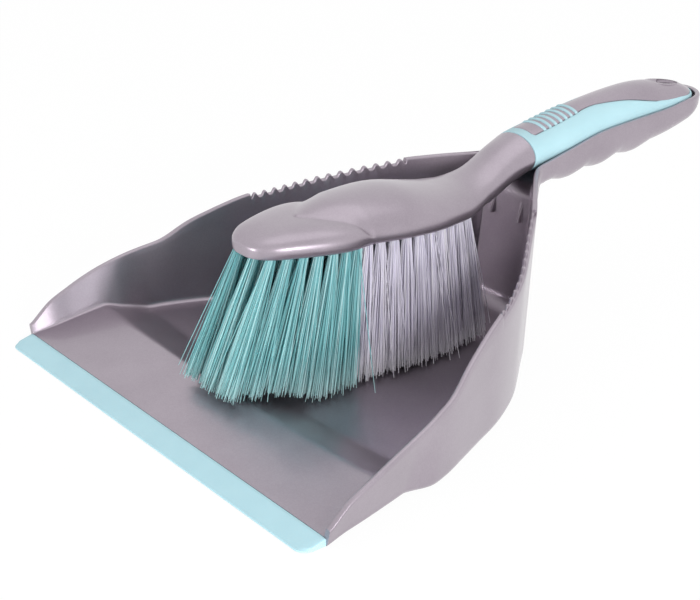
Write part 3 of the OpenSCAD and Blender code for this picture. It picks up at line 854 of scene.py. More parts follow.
        def line(y: Points) -> Points:
            """The skirt before easing.

            Args:
                y: Places along the set.

            Returns:
                Its height at each place.
            """
            up = self.skirt_lift * np.clip((y - self.lip_l) / (top - self.lip_l), 0, 1)
            down = self.skirt_lift * np.clip((end - y) / (end - top), 0, 1)
            return np.minimum(up, down)
        return Eased.of(line, 0, SET_L, ease=1.0)

    def comb_cut(self, y: Points) -> Points:
        """Depth of the comb's gaps.

        Args:
            y: Places along the pan.

        Returns:
            The depth at each place.
        """
        off = np.abs((y - self.comb_start) % self.comb_pitch - self.comb_pitch / 2)
        gap = ramp_up(off, self.tooth_w / 2 - self.comb_ease,
                      self.tooth_w / 2 + self.tooth_flank + self.tooth_foot)
        return np.where((y > self.comb_start) & (y < self.comb_end), self.tooth_h * gap, 0)

    def comb_ledge(self, y: Points) -> Points:
        """Depth of the ledge outside the comb, whose teeth stand on the rim's inner half.

        Args:
            y: Places along the pan.

        Returns:
            The depth at each place.
        """
        ease = self.comb_ease
        start = ramp_up(y, self.comb_start - ease, self.comb_start + ease)
        return self.tooth_h * start * (1 - ramp_up(y, self.comb_end - ease, self.comb_end + ease))

    def bowed(self, y: Points, share: Points) -> Points:
        """The place of a floor point, moved towards the lip by the crest's bow.

        Args:
            y: The station's place along the pan.
            share: The point's place across it, 0 in the middle and 1 at the floor's edge.

        Returns:
            The point's place along the pan.
        """
        y = np.asarray(y, float)
        before = np.clip((y - self.lip_l) / (self.crest_y - self.lip_l), 0, 1)
        behind = np.clip(1 - (y - self.slope_end) / self.bow_fade, 0, 1)
        fade = np.where(y < self.crest_y, before, behind)
        return y - self.crest_bow * (1 - np.asarray(share) ** 2) * fade

    def floor_at(self, x: Points, y: Points) -> Points:
        """Height of the ramp and floor inside the pan.

        Args:
            x: Places across the pan.
            y: Places along it.

        Returns:
            The height at each place.
        """
        share = np.clip(np.abs(x) / (self.width / 2 - self.floor_in), 0, 1)
        shift = y - self.bowed(y, share)
        return self.ramp.at(y + shift)

    def stations(self) -> Points:
        """The middle line of the floor, the back wall and the handle.

        Returns:
            A row for each station: y and z of the outer face, y and z of the inner one.
        """
        # The stations lie close together where the shape bends and in the comb.
        ahead = np.arange(self.lip_l, self.slope_end + 1, 1.1)
        front = np.column_stack((ahead, self.skirt.at(ahead), ahead, self.ramp.at(ahead)))
        mouth_y, mouth_z = self.basin_l + self.mouth_back, self.handle_base - self.mouth_r
        tilt = math.radians(self.back_tilt)
        back_y = (mouth_y - (self.mouth_r + self.back_r) / math.cos(tilt)
                  - (mouth_z - self.back_r) * math.tan(tilt))
        per_tooth = 16
        comb = np.arange(-2, self.comb_teeth * per_tooth + 3) * self.comb_pitch / per_tooth
        flat = np.concatenate((
            np.arange(self.slope_end + 2, self.comb_start - 0.6, 1.5),
            self.comb_start + comb, np.arange(self.comb_end + 1.5, back_y - 0.4, 1.0)))
        basin = np.column_stack((flat, 0 * flat, flat, 0 * flat + self.floor))

        def back(inset: float) -> Points:
            """The back wall's line.

            Args:
                inset: How far inside its outer face.

            Returns:
                (y, z) pairs from the floor up.
            """
            low = arc(back_y, self.back_r, self.back_r - inset, -90, -self.back_tilt, 24)
            high = arc(mouth_y, mouth_z, self.mouth_r + inset, 180 - self.back_tilt, 90, 14)
            rise = np.linspace(low[-1], high[0], 26)[1:-1]
            return np.concatenate((low, rise, high))
        behind = np.column_stack((back(0), back(self.floor)))
        end_from = SET_L - self.end_round
        over = np.arange(mouth_y + 1, end_from - 0.5, 1.0)
        handle = np.column_stack((over, self.under.at(over) - self.bump.at(over), over,
                                  self.under.at(over) + self.floor))
        s = np.sin(np.radians(np.linspace(0, FLAT_FROM, 21))) / math.sin(math.radians(FLAT_FROM))
        outer, inner = end_from + self.end_round * s, end_from + (self.end_round - self.wall) * s
        end = np.column_stack((outer, self.under.at(outer) - self.bump.at(outer), inner,
                               np.minimum(self.under.at(inner) + self.floor,
                                          self.rim_line.at(inner) - self.end_lip)))
        return np.concatenate((front, basin, behind, handle, end))

    def section(self, y: Points, low: Points, inset: float) -> Points:
        """Half sections of one skin of the pan, from its middle line to its rim.

        Args:
            y: Each station's place along the pan.
            low: Height of the floor's face there.
            inset: 0 for the outer skin, or the wall's thickness for the inner one.

        Returns:
            One row of points for each station.
        """
        slope = (self.rim_half.at(y + 1) - self.rim_half.at(y - 1)) / 2
        across = np.sqrt(1 + slope**2)
        end = SET_L - self.end_round
        half = (self.rim_half.at(y) - across * inset) * blunt_end(y, SET_L - inset, end)
        top = self.rim_line.at(y)
        rim = top - (self.comb_cut(y) if inset else self.comb_ledge(y))
        near_handle = ramp_up(y, self.basin_l - self.blend_l, self.basin_l)
        basin_r = self.inner_r if inset else self.foot_r
        handle_r = self.handle_r - inset
        # The foot rounding takes at most this share of the wall's height, more along the handle.
        most = 0.12 + 0.48 * ramp_up(y, self.basin_l - 4, self.basin_l + 2)
        r = np.minimum(np.minimum(basin_r + (handle_r - basin_r) * near_handle,
                                  most * (top - low)), 0.7 * half)
        more = (self.mouth_flare - self.back_flare) * self.flare_share.at(y / self.basin_l)
        flare = self.back_flare + np.where(y < self.basin_l, more, 0)
        foot = np.maximum(half - flare * (top - low) * across - r, 0.12 * half)
        side_r = np.minimum(r, half - foot)
        side = foot + side_r
        curl = np.minimum(self.rim_round, 0.3 * (top - low))
        flat, turns, rises = 10, 8, 8  # steps on the floor, round the foot and up the wall
        rows = [(foot * k / flat, low) for k in range(flat)]
        for a in np.radians(np.linspace(90, 0, turns + 1)):
            rows.append((foot + side_r * math.cos(a), low + r * (1 - math.sin(a))))

        def wall_x(z: Points) -> Points:
            """The wall's place across the pan at a height."""
            return side + (half - side) * (z - low - r) / (top - low - r)
        wall_low, wall_high = low + r, rim - curl
        for k in range(1, rises + 1):
            z = wall_low + (wall_high - wall_low) * k / rises
            rows.append((wall_x(z), z))
        out = -1 if inset else 1
        for b in QUARTER[1:]:
            rows.append((wall_x(wall_high) - out * curl * across * (1 - math.cos(b)),
                         wall_high + curl * math.sin(b)))
        x = np.column_stack([row[0] for row in rows])
        z = np.column_stack([np.broadcast_to(row[1], y.shape) for row in rows])
        along = np.repeat(y[:, None], x.shape[1], axis=1)
        if inset:
            along[:, :flat] = self.bowed(y[:, None], np.arange(flat)[None, :] / flat)
        return np.stack((x, along, z), axis=-1)

    def shell(self, finish: bpy.types.Material) -> bpy.types.Object:
        """Builds the moulding.

        Args:
            finish: Its material.

        Returns:
            The moulding, with its ramp hollow underneath and its hanging hole.
        """
        line = self.stations()
        outer = self.section(line[:, 0], line[:, 1], 0)
        inner = self.section(line[:, 2], line[:, 3], self.wall)
        step = [outer[:, -1] * (1 - s) + inner[:, -1] * s for s in self.comb_step]
        step[0][:, 2], step[1][:, 2] = outer[:, -1, 2], inner[:, -1, 2]
        rings = both_halves(np.concatenate(
            (outer, np.stack(step, axis=1), inner[:, ::-1]), axis=1))
        count, around = rings.shape[:2]
        m = outer.shape[1]
        faces = tube_faces(count, around)
        mirror = [(around - j) % around for j in range(2 * m + 2)]
        for j in range(m - 1):  # the front edge under the soft strip
            a, b = 2 * m + 1 - j, 2 * m - j
            faces += [(j, j + 1, b, a), (mirror[j + 1], mirror[j], mirror[a], mirror[b])]
        a, b = m, m + 1
        faces += [(m - 1, a, b, m + 2), (mirror[a], mirror[m - 1], mirror[m + 2], mirror[b])]
        last = (count - 1) * around
        q = m - 4  # the rim's rounding starts here
        inside = [*range(2 * m + 1, 2 * m - q, -1)]
        for half in ([*range(q + 1)], inside):  # the handle's end, outside and inside
            faces.append(tuple(last + j for j in [*half, *[mirror[k] for k in half[:0:-1]]]))
        for j in range(q, 2 * m + 1 - q):
            faces.append((last + j, last + j + 1, last + mirror[j + 1], last + mirror[j]))
        piece = make_piece("pan_shell", rings.reshape(-1, 3), faces, finish)
        combine(piece, self.ramp_hollow(finish), Cut.AWAY)
        combine(piece, self.bore(finish), Cut.AWAY)
        for side in (-1, 1):
            combine(piece, self.wedge_rib(side, finish), Cut.JOIN)
        return piece

    def bore(self, finish: bpy.types.Material) -> bpy.types.Object:
        """A solid for the hanging hole.

        Args:
            finish: Its material.

        Returns:
            The solid to cut away, a little wider where it opens in the channel.
        """
        r = self.hang_d / 2
        low = float(self.under.at(self.hang_y))
        high = low + self.floor
        profile = [(r + 1, low - 6), (r, low - 0.4), (r, high + 0.6), (r + 0.4, high + 1),
                   (r + 0.4, low + 20)]
        return make_piece("bore", *turned(profile, 0, self.hang_y), finish)

    def ramp_hollow(self, finish: bpy.types.Material) -> bpy.types.Object:
        """The space under the ramp.

        Args:
            finish: Its material.

        Returns:
            The solid to cut away.
        """
        front, back = self.lip_l + self.wall, self.slope_end - 2 * self.wall
        halves = [self.rim_half.at(front) - 2 * self.wall - 2,
                  self.rim_half.at(self.crest_y) - 2 * self.wall
                  - self.mouth_flare * (self.rim_line.at(self.crest_y) - self.skirt_lift),
                  self.rim_half.at(self.slope_end) - 2 * self.wall
                  - self.mouth_flare * self.rim_line.at(self.slope_end)]
        shares = np.linspace(-1, 1, 11)
        rings = []  # one at the strip, one under the crest, one before the slope's foot
        for half, y in zip(halves, (front, self.crest_y, back)):
            top = self.ramp.at(y) - self.wall
            line = list(zip(shares, self.bowed(y, shares)))
            rings.append([(s * half, v, -1) for s, v in line]
                         + [(s * half, v, top - (abs(s) > 0.99)) for s, v in line[::-1]])
        return make_piece("hollow", *closed_tube(np.array(rings)), finish)

    def wedge_rib(self, side: int, finish: bpy.types.Material) -> bpy.types.Object:
        """A small wedge rib on the back wall that steadies the brush's neck.

        Args:
            side: -1 or 1.
            finish: Its material.

        Returns:
            The rib, to join to the moulding.
        """
        low = self.handle_base - self.wedge_low
        tilt = math.tan(math.radians(self.back_tilt))
        line = self.stations()
        wall = line[(line[:, 3] > 20) & (line[:, 2] < self.basin_l)][0]  # a point high on the wall

        def face(z: float) -> float:
            """The back wall's inner face at a height."""
            return wall[2] + (z - wall[3]) * tilt
        middle, half = side * self.wedge_x, self.wedge_w / 2
        rings = []
        for s in np.linspace(0, 1, 7):  # sections across the rib, from its top down to its foot
            z = low + self.wedge_h * (1 - s)
            depth = self.wedge_out * min(1, s * 1.1)  # full a little above the foot
            ring = [(middle + half * math.cos(a), face(z) - depth * math.sin(a) ** 0.6, z)
                    for a in np.radians(np.linspace(0, 180, 7))]
            rings.append(ring + [(middle - half, face(z) + 1, z), (middle + half, face(z) + 1, z)])
        return make_piece("rib", *closed_tube(np.array(rings)), finish)

    def lip(self, finish: bpy.types.Material) -> bpy.types.Object:
        """Builds the soft strip: a wedge that thins to a rounded front edge.

        Args:
            finish: Its material.

        Returns:
            The strip.
        """
        half = self.width / 2 - self.lip_inset
        r = self.lip_corner
        corner = r * np.sin(np.radians(np.linspace(86, 0, 12)))
        xs = np.concatenate((-(half - r) - corner, np.linspace(-(half - r), half - r, 76)[1:-1],
                             (half - r) + corner[::-1]))
        rings = []
        for x in xs:  # a corner moves a section's front back, and lowers its top a little
            off = max(0.0, abs(x) - (half - r))
            front = r - math.sqrt(max(0.0, r * r - off * off))
            edge = self.lip_edge / 2
            shrink = self.lip_ends * (1 - math.sqrt(max(0.0, 1 - (off / r) ** 4)))
            ring = [(front + edge + edge * math.cos(a), edge + edge * math.sin(a))
                    for a in np.radians(np.linspace(270, 90, 9))]
            for s in np.linspace(0.1, 1, 8):
                y = front + edge + (self.lip_l - 0.35 - front - edge) * s
                z = self.lip_edge + (self.lip_h - self.lip_edge) * (y - edge) / (self.lip_l - edge)
                ring.append((y, z - shrink))
            ring += [(self.lip_l - 0.1, self.lip_h - 0.15 - shrink),
                     (self.lip_l, self.lip_h - 0.4 - shrink),
                     (self.lip_l, 0.3), (self.lip_l - 0.25, 0.0)]
            ring += [(self.lip_l * s + front * (1 - s), 0.0) for s in (0.75, 0.5, 0.25)]
            rings.append([(x, y, z) for y, z in ring])
        return make_piece("lip_strip", *closed_tube(np.array(rings)), finish, sharp=50)

    def build(self, plastic: bpy.types.Material, rubber: bpy.types.Material) -> None:
        """Makes the pan's pieces and ties them to the pan.

        Args:
            plastic: The moulding's material.
            rubber: The strip's material.
        """
        place(self.shell(plastic), Body.PAN, Slot.GREY, "pan_body")
        place(self.lip(rubber), Body.PAN, Slot.LIP, "pan_lip")


def place(piece: bpy.types.Object, body: Body, slot: Slot, *nodes: str) -> None:
    """Ties a piece to its body and hides the solids that it stands for.

    Args:
        piece: The piece.
        body: The body that it moves with.
        slot: The record's slot for its finish; not used.
        *nodes: The solids that it stands for.
    """
    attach(piece, body.value)
    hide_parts(*nodes)
    LOG.info("%s: %d faces, %s", piece.name, len(piece.data.polygons), body.value)


# ---- Brush --------------------------------------------------------------------------------
@dataclass
class Brush:
    """The hand brush: a hard head, neck and panel, and the soft skin and ribs of its grip."""

    pan: Pan
    height: float = 31.0
    nest_gap: float = 0.6
    end_gap: float = 1.6
    head_l: float = 114.0
    head_w: float = 52.0
    neck_l: float = 42.0
    panel_w: float = 14.5
    ribs: int = 7
    rib_pitch: float = 3.5
    rib_w: float = 1.7
    rib_from: float = 10.0  # how far behind the collar they start
    rib_reach: float = 0.25  # how far they run into the skin
    rib_h: float = 0.7
    head_tilt: float = 2.6
    head_edge: float = 3.0
    edge_share: float = 0.094  # how far the head's rounded edge reaches in, of its half width
    lobe_soft: float = 3.6  # how softly the lobe and the dome meet
    lobe_fade: tuple[float, float] = (0.41, 0.53)  # shares of the head over which it runs out
    dome_front: float = 0.25
    dome_full: float = 0.47
    collar_r: float = 0.5  # rounding of the neck where it meets the skin
    end_round: float = 13.0
    seat_gap: float = 1.4
    seat_front: float = 0.06  # gap under the grip's start, as a share of the brush's height
    seat_fade: float = 20.0  # length over which that gap runs out
    nose_ease: tuple[float, float] = (3.0, 12.0)  # how far behind the nose its sharp plan ends
    end_sharp: float = 6.0  # how far before its rounded end its plan is sharp again
    round_part: tuple[float, float] = (0.93, 1.3)  # shares of the brush where its foot turns round
    skin_edge: float = 0.6  # rounding of the skin's front edge
    panel_front: float = 4.5  # how far behind the collar the panel starts
    panel_back: float = 2.2  # how far before the brush's end it ends
    panel_corner: float = 1.5
    panel_flat: float = 88.0  # angle in degrees at which its rounded end turns flat
    panel_gap: float = 0.12  # seam between the panel and the skin
    recess: float = 1.0
    seam_depths: tuple[float, ...] = (0.45, 0.28, 0.1, 0.0)  # rounding of both edges at the seam
    dish_w: float = 11.0
    dish_l: float = 19.0
    dish_depth: float = 2.2
    dish_shift: float = 4.0  # how far its middle lies in front of the hole
    boss_margin: float = 0.8  # how much wider than the dish the block under it is
    boss_depth: float = 4.6
    boss_gap: float = 0.1  # room round the block in the skin
    bore_gap: float = 0.5  # how much further out the hole's wall is in the skin
    head_plan: Curve = Curve((
        (0, 0), (0.1, 0.27), (0.17, 0.41), (0.27, 0.57), (0.37, 0.69), (0.455, 0.8),
        (0.535, 0.9), (0.6, 0.94), (0.65, 0.905), (0.685, 0.865), (0.72, 0.9), (0.79, 0.98),
        (0.85, 1), (0.895, 0.98), (0.94, 0.9), (0.97, 0.84), (1, 0.78)))
    neck_plan: Curve = Curve((
        (0, 1), (0.12, 0.66), (0.29, 0.24), (0.48, -0.05), (0.7, -0.12), (1, 0)))
    crown: Curve = Curve((
        (0.25, 0.29), (0.34, 0.4), (0.46, 0.453), (0.62, 0.447), (0.71, 0.412), (0.8, 0.334),
        (0.88, 0.267), (0.97, 0.206), (1.14, 0.19), (1.38, 0.267), (1.57, 0.389), (1.76, 0.535),
        (1.93, 0.62), (2.09, 0.732), (2.27, 0.855), (2.44, 0.935), (2.62, 0.98), (2.72, 0.965),
        (2.81, 0.91), (2.92, 0.833), (3, 0.73)))
    lobe: Curve = Curve((
        (0, 0.15), (0.03, 0.228), (0.09, 0.293), (0.21, 0.325), (0.34, 0.309), (0.43, 0.244),
        (0.48, 0.13)))
    neck_under: Curve = Curve((
        (1, -0.164), (1.17, -0.206), (1.33, -0.238), (1.5, -0.19), (1.64, -0.106),
        (1.83, -0.019), (2, 0.06)))
    panel_share: Curve = Curve((
        (2.18, 0), (2.27, -0.09), (2.32, -0.21), (2.375, -0.21), (2.43, -0.04), (2.53, 0.31),
        (2.63, 0.69), (2.7, 0.87), (2.78, 0.99), (2.84, 1), (3, 1)))
    widest_panel: float = 0.97  # half width of the panel at its end, as a share of the grip's

    @property
    def seat(self) -> float:
        """Height of the channel's floor where it starts."""
        return self.pan.handle_base + self.pan.floor

    @property
    def collar_y(self) -> float:
        """Where the neck meets the grip."""
        return self.pan.basin_l

    @property
    def neck_y(self) -> float:
        """Where the neck starts."""
        return self.collar_y - self.neck_l

    @property
    def nose_y(self) -> float:
        """The front of the head."""
        return self.neck_y - self.head_l

    @property
    def end_y(self) -> float:
        """The brush's end."""
        return SET_L - self.pan.wall - self.end_gap

    @property
    def rounded_from(self) -> float:
        """Where the rounding of the brush's end starts."""
        return self.end_y - self.end_round

    @property
    def panel_start(self) -> float:
        """Where the hard panel starts."""
        return self.collar_y + self.panel_front

    @property
    def panel_end(self) -> float:
        """Where the hard panel ends."""
        return self.end_y - self.panel_back

    def share(self, y: Points) -> Points:
        """Share of the brush: 0 at the nose, 1 at the neck, 2 at the collar, 3 at the end."""
        return np.interp(y, (self.nose_y, self.neck_y, self.collar_y, self.end_y), (0, 1, 2, 3))

    def under_head(self, y: Points) -> Points:
        """Height of the head's flat underside."""
        tilt = math.tan(math.radians(self.head_tilt))
        return self.seat - (np.asarray(y, float) - self.nose_y) * tilt

    def grip_half(self, y: Points) -> Points:
        """Half width of the grip."""
        inside = self.pan.channel_half(y) - self.pan.wall - self.nest_gap
        return inside * blunt_end(y, self.end_y, self.rounded_from)

    def head_half(self, y: Points) -> Points:
        """Half width of the head, before it is eased into the neck."""
        return self.head_w / 2 * self.head_plan.at(np.sqrt(np.clip(self.share(y), 0, 1)))

    @cached_property
    def half_line(self) -> Eased:
        """Half width of the head and neck, eased where they meet.

        Returns:
            The half width along the brush.
        """
        def line(y: Points) -> Points:
            """The half width before easing.

            Args:
                y: Places along the set.

            Returns:
                The half width at each place.
            """
            collar = self.grip_half(np.array(self.collar_y))
            head_end = self.head_w / 2 * self.head_plan.points[-1][1]
            neck = collar + (head_end - collar) * self.neck_plan.at(self.share(y) - 1)
            behind = np.where(y < self.collar_y, neck, self.grip_half(y))
            return np.where(y < self.neck_y, self.head_half(y), behind)
        return Eased.of(line, self.nose_y, self.end_y, ease=1.6)

    def half(self, y: Points) -> Points:
        """Half width of the brush, sharp at the nose and at the rounded end.

        Args:
            y: Places along the set.

        Returns:
            The half width at each place.
        """
        y = np.asarray(y, float)
        soft = ramp_up(y, self.nose_y + self.nose_ease[0], self.nose_y + self.nose_ease[1])
        body = np.where(y < self.rounded_from - self.end_sharp, self.half_line.at(y),
                        self.grip_half(y))
        return self.head_half(y) * (1 - soft) + body * soft

    @cached_property
    def crown_line(self) -> Eased:
        """Height of the dome, neck and grip, before the end is rounded."""
        return Eased.of(lambda y: self.seat + self.height * self.crown.at(self.share(y)),
                        self.nose_y, self.end_y, ease=2.4)

    @cached_property
    def under_line(self) -> Eased:
        """Height of the underside, before the end is rounded.

        Returns:
            The height along the brush.
        """
        def line(y: Points) -> Points:
            """The underside before easing.

            Args:
                y: Places along the set.

            Returns:
                Its height at each place.
            """
            t = self.share(y)
            drop = self.under_head(self.neck_y) - self.seat
            neck_start = self.neck_under.points[0][1]
            neck = (self.seat + drop * (2 - t)
                    + self.height * (self.neck_under.at(t) - neck_start * (2 - t)))
            near = np.maximum(0, 1 - (y - self.collar_y) / self.seat_fade)
            gap = self.seat_gap + (self.height * self.seat_front - self.seat_gap) * near
            grip = self.pan.under.at(y) + self.pan.floor + gap
            behind = np.where(y < self.collar_y, neck, grip)
            return np.where(y < self.neck_y, self.under_head(y), behind)
        return Eased.of(line, self.nose_y, self.end_y, ease=2.0)

    def levels(self, y: Points) -> tuple[Points, Points, Points, Points]:
        """Heights of the brush's skin.

        Args:
            y: Places along the set.

        Returns:
            Its top, its underside, its widest line, and how round the underside is there.
        """
        crown, under = self.crown_line.at(y), self.under_line.at(y)
        middle = (crown + under) / 2
        tall = blunt_end(y, self.end_y, self.rounded_from) ** 0.6
        top, low = middle + (crown - middle) * tall, middle + (under - middle) * tall
        round_ = ramp_up(self.share(y), *self.round_part)
        wide = (low + self.head_edge) * (1 - round_) + (top + low) / 2 * round_
        return top, low, wide, round_

    def upper(self, y: Points, x: Points) -> Points:
        """Height of the head's and neck's upper skin.

        Args:
            y: Places along the set, one for each row of x.
            x: Places across it.

        Returns:
            The height at each place.
        """
        top, _, wide, _ = self.levels(y)
        t, half = self.share(y), self.half(y)
        s = np.clip(np.abs(x) / half[:, None], 0, 1)
        lobe = self.seat + self.height * self.lobe.at(t) - wide
        lobe = np.maximum(lobe * (1 - ramp_up(t, *self.lobe_fade)), 0)[:, None]
        lobe = lobe * (1 - s**3) ** (1 / 3)
        full = self.half(np.array([self.nose_y + self.dome_full * self.head_l]))
        grown = np.clip((t - self.dome_front) / (self.dome_full - self.dome_front), 0, 1)
        dome_half = np.where(t >= self.dome_full, half, np.minimum(half, full * np.sqrt(grown)))
        r = np.clip(np.abs(x) / np.maximum(dome_half, 0.01)[:, None], 0, 1)
        dome = np.where(t > self.dome_front, top - wide, 0)[:, None] * np.sqrt(1 - r**2)
        soft = self.lobe_soft * np.sqrt(1 - s**2)
        near = np.maximum(soft - np.abs(lobe - dome), 0) / np.maximum(soft, 1e-6)
        return wide[:, None] + np.maximum(lobe, dome) + near**2 * soft / 4

    def head(self, finish: bpy.types.Material) -> bpy.types.Object:
        """Builds the head and neck.

        Args:
            finish: Its material.

        Returns:
            The head and neck as one piece, which ends inside the grip.
        """
        s = np.linspace(0.035, 1, 150)  # to the power of 1.7, so that the nose has most sections
        end = self.collar_y - 0.15
        tip = 0.02  # the nose's first section lies this far behind it
        ys = np.concatenate((self.nose_y + tip + s**1.7 * (self.head_l - tip),
                             np.arange(self.neck_y + 0.8, end - 0.6, 0.8),
                             end - self.collar_r + self.collar_r * np.sin(QUARTER)))
        edge = np.concatenate((np.zeros(len(ys) - 4), self.collar_r * (1 - np.cos(QUARTER))))
        ys = np.concatenate((ys, [end, end + 3]))  # a stub that runs on into the grip
        edge = np.concatenate((edge, [2.0, 2.0]))
        top, low, wide, round_ = self.levels(ys)
        half = self.half(ys)
        steps = 12  # round the edge, and again along the flat underside
        a = np.radians(np.linspace(0, 90, 40))
        x_top = half[:, None] * np.sin(a)[None, :]
        z_top = self.upper(ys, x_top)
        b = np.radians(np.linspace(0, 90, steps + 1))[1:]
        reach = half * (self.edge_share + (1 - self.edge_share) * round_)
        x_low = half[:, None] - reach[:, None] * (1 - np.cos(b))[None, :]
        z_low = wide[:, None] - (wide - low)[:, None] * np.sin(b)[None, :]
        inner = np.linspace(1, 0, steps + 1)[1:]
        x_flat = x_low[:, -1:] * inner[None, :]
        z_flat = np.repeat(z_low[:, -1:], steps, axis=1)
        x = np.concatenate((x_top, x_low, x_flat), axis=1)
        z = np.concatenate((z_top, z_low, z_flat), axis=1)
        shrink = (1 - edge / half)[:, None]
        middle = wide[:, None]
        x, z = x * shrink, middle + (z - middle) * (1 - edge / (top - wide))[:, None]
        right = np.stack((x, np.repeat(ys[:, None], x.shape[1], axis=1), z), axis=-1)
        return make_piece("brush_head", *closed_tube(both_halves(right)), finish)

    def panel_half(self, y: Points) -> Points:
        """Half width of the hard panel on top of the grip.

        Args:
            y: Places along the set.

        Returns:
            The half width at each place.
        """
        y = np.asarray(y, float)
        full = self.widest_panel * self.grip_half(np.minimum(y, self.rounded_from))
        wide = self.panel_w / 2 + (full - self.panel_w / 2) * self.panel_share.at(self.share(y))
        into = np.clip((y - self.panel_start) / self.panel_corner, 0, 1)
        wide = wide - self.panel_corner * (1 - np.sqrt(1 - (1 - into) ** 2))
        return np.minimum(full, wide) * blunt_end(y, self.panel_end, self.rounded_from,
                                                  self.panel_flat)

    def grip_rows(self, y: Points, x: Points, under: bool, depth: Points) -> Points:
        """Points of the grip's skin, moved in by a depth.

        Args:
            y: Places along the set, one for each row of x.
            x: Places across it.
            under: Whether they lie on the underside.
            depth: How far each point is moved in, along the skin's normal.

        Returns:
            The points.
        """
        top, low, wide, _ = self.levels(y)
        half = self.half(y)[:, None]
        tall = ((wide - low) if under else (top - wide))[:, None]
        s = np.clip(x / half, -1, 1)
        c = np.sqrt(1 - s**2)
        normal = np.stack((s * tall, c * half), axis=-1)
        normal /= np.maximum(np.linalg.norm(normal, axis=-1, keepdims=True), 1e-9)
        way = -1 if under else 1
        px = x - depth * normal[..., 0]
        pz = wide[:, None] + way * (tall * c - depth * normal[..., 1])
        return np.stack((px, np.repeat(y[:, None], x.shape[1], axis=1), pz), axis=-1)

    def soft_ribs(self, finish: bpy.types.Material) -> bpy.types.Object:
        """Builds the soft ribs that lie across the panel and run into the skin at both ends.

        Args:
            finish: Their material.

        Returns:
            The ribs, as one piece.
        """
        profile = np.array([(-1.0, -0.3), (-0.86, 0.16), (-0.66, 0.46), (-0.34, 0.65), (0, 0.7),
                            (0.34, 0.65), (0.66, 0.46), (0.86, 0.16), (1.0, -0.3)])
        profile *= (self.rib_w / 2, self.rib_h / profile[:, 1].max())
        share = np.sin(np.radians(np.linspace(-90, 90, 37)))
        lower = 1 - 0.7 * ramp_up(np.abs(share), 0.86, 1.0)  # the ends sink to the skin
        ribs = []
        for k in range(self.ribs):
            ys = self.collar_y + self.rib_from + (k + 0.5) * self.rib_pitch + profile[:, 0]
            x = (self.panel_half(ys) + self.rib_reach)[:, None] * share
            rings = self.grip_rows(ys, x, False, -profile[:, 1:] * lower)
            ribs.append(closed_tube(rings.transpose(1, 0, 2)))
        return make_piece("grip_ribs", *gathered(ribs), finish)

    def panel(self, finish: bpy.types.Material) -> bpy.types.Object:
        """Builds the hard panel: a tongue that widens towards the end, with the dish in it.

        Args:
            finish: Its material.

        Returns:
            The panel.
        """
        front, end, r = self.panel_start, self.panel_end, self.end_round
        ys = np.concatenate((front + np.array((0.02, 0.08, 0.2, 0.45, 0.8, 1.2, 1.6, 2.2)),
                             np.arange(front + 3, end - r, 0.9),
                             end - r + r * np.sin(np.radians(np.linspace(
                                 0, self.panel_flat, 26)))))
        sunk = np.interp(ys, (front, front + 0.08, front + 0.2, front + 0.5), (0.5, 0.3, 0.1, 0))
        sunk = np.maximum(sunk, np.interp(ys, (end - 0.5, end - 0.2, end), (0, 0.1, 0.4)))
        edge = np.maximum(self.panel_half(ys) - self.panel_gap / 2, 0.2)[:, None]
        u = np.concatenate((np.linspace(0, 0.9, 15), (0.93, 0.96, 0.985, 1.0)))
        x = edge * u[None, :]
        rim = np.interp(edge - x, (0, 0.05, 0.2, 0.5), self.seam_depths)
        upper = self.grip_rows(ys, x, False, np.maximum(rim, sunk[:, None]))
        lower = self.grip_rows(ys, x[:, ::-1], False, np.full_like(x, self.recess - 0.02))
        rings = both_halves(np.concatenate((upper, lower), axis=1))
        piece = make_piece("grip_panel", *closed_tube(rings), finish)
        combine(piece, self.dish_solid(self.boss_margin, self.boss_depth, finish), Cut.JOIN)
        combine(piece, self.dish_solid(0.0, self.dish_depth, finish), Cut.AWAY)
        combine(piece, self.bore(0.0, finish), Cut.AWAY)
        return piece

    def dish_solid(self, margin: float, depth: float,
                   finish: bpy.types.Material) -> bpy.types.Object:
        """The space of the long shallow dish round the hanging hole, or the block under it.

        Args:
            margin: How much wider than the dish the solid is; 0 gives the dish itself.
            depth: How deep it goes under the panel's face.
            finish: Its material.

        Returns:
            The solid.
        """
        y = self.pan.hang_y - self.dish_shift
        top = float(self.crown_line.at(y))
        if margin:
            wide = 1 + margin / 6  # as a share of the dish, which is about 6 from middle to side
            profile = [(wide, top - depth), (wide, top - self.recess + 0.3)]
        else:
            profile = [(math.sin(a), top + 0.4 - (depth + 0.4) * math.cos(a))
                       for a in np.radians(np.linspace(4, 90, 22))] + [(1.0, top + 6)]
        points, faces = turned(profile, 0, 0)
        points *= (self.dish_w / 2, self.dish_l / 2, 1)
        slope = float(self.crown_line.at(y + 4) - self.crown_line.at(y - 4)) / 8
        points[:, 2] += slope * points[:, 1]
        return make_piece("dish", points + (0, y, 0), faces, finish)

    def bore(self, margin: float, finish: bpy.types.Material) -> bpy.types.Object:
        """A solid for the hanging hole.

        Args:
            margin: How much further out than the hole's wall it goes.
            finish: Its material.

        Returns:
            The solid to cut away, a little wider where it opens in the dish.
        """
        y, r = self.pan.hang_y, self.pan.hang_d / 2 + margin
        mouth = float(self.crown_line.at(y)) - self.dish_depth
        profile = [(r, mouth - 40), (r, mouth - 0.5), (r + 0.15, mouth - 0.2),
                   (r + 0.7, mouth + 0.5), (r + 0.7, mouth + 8)]
        return make_piece("bore", *turned(profile, 0, y), finish)

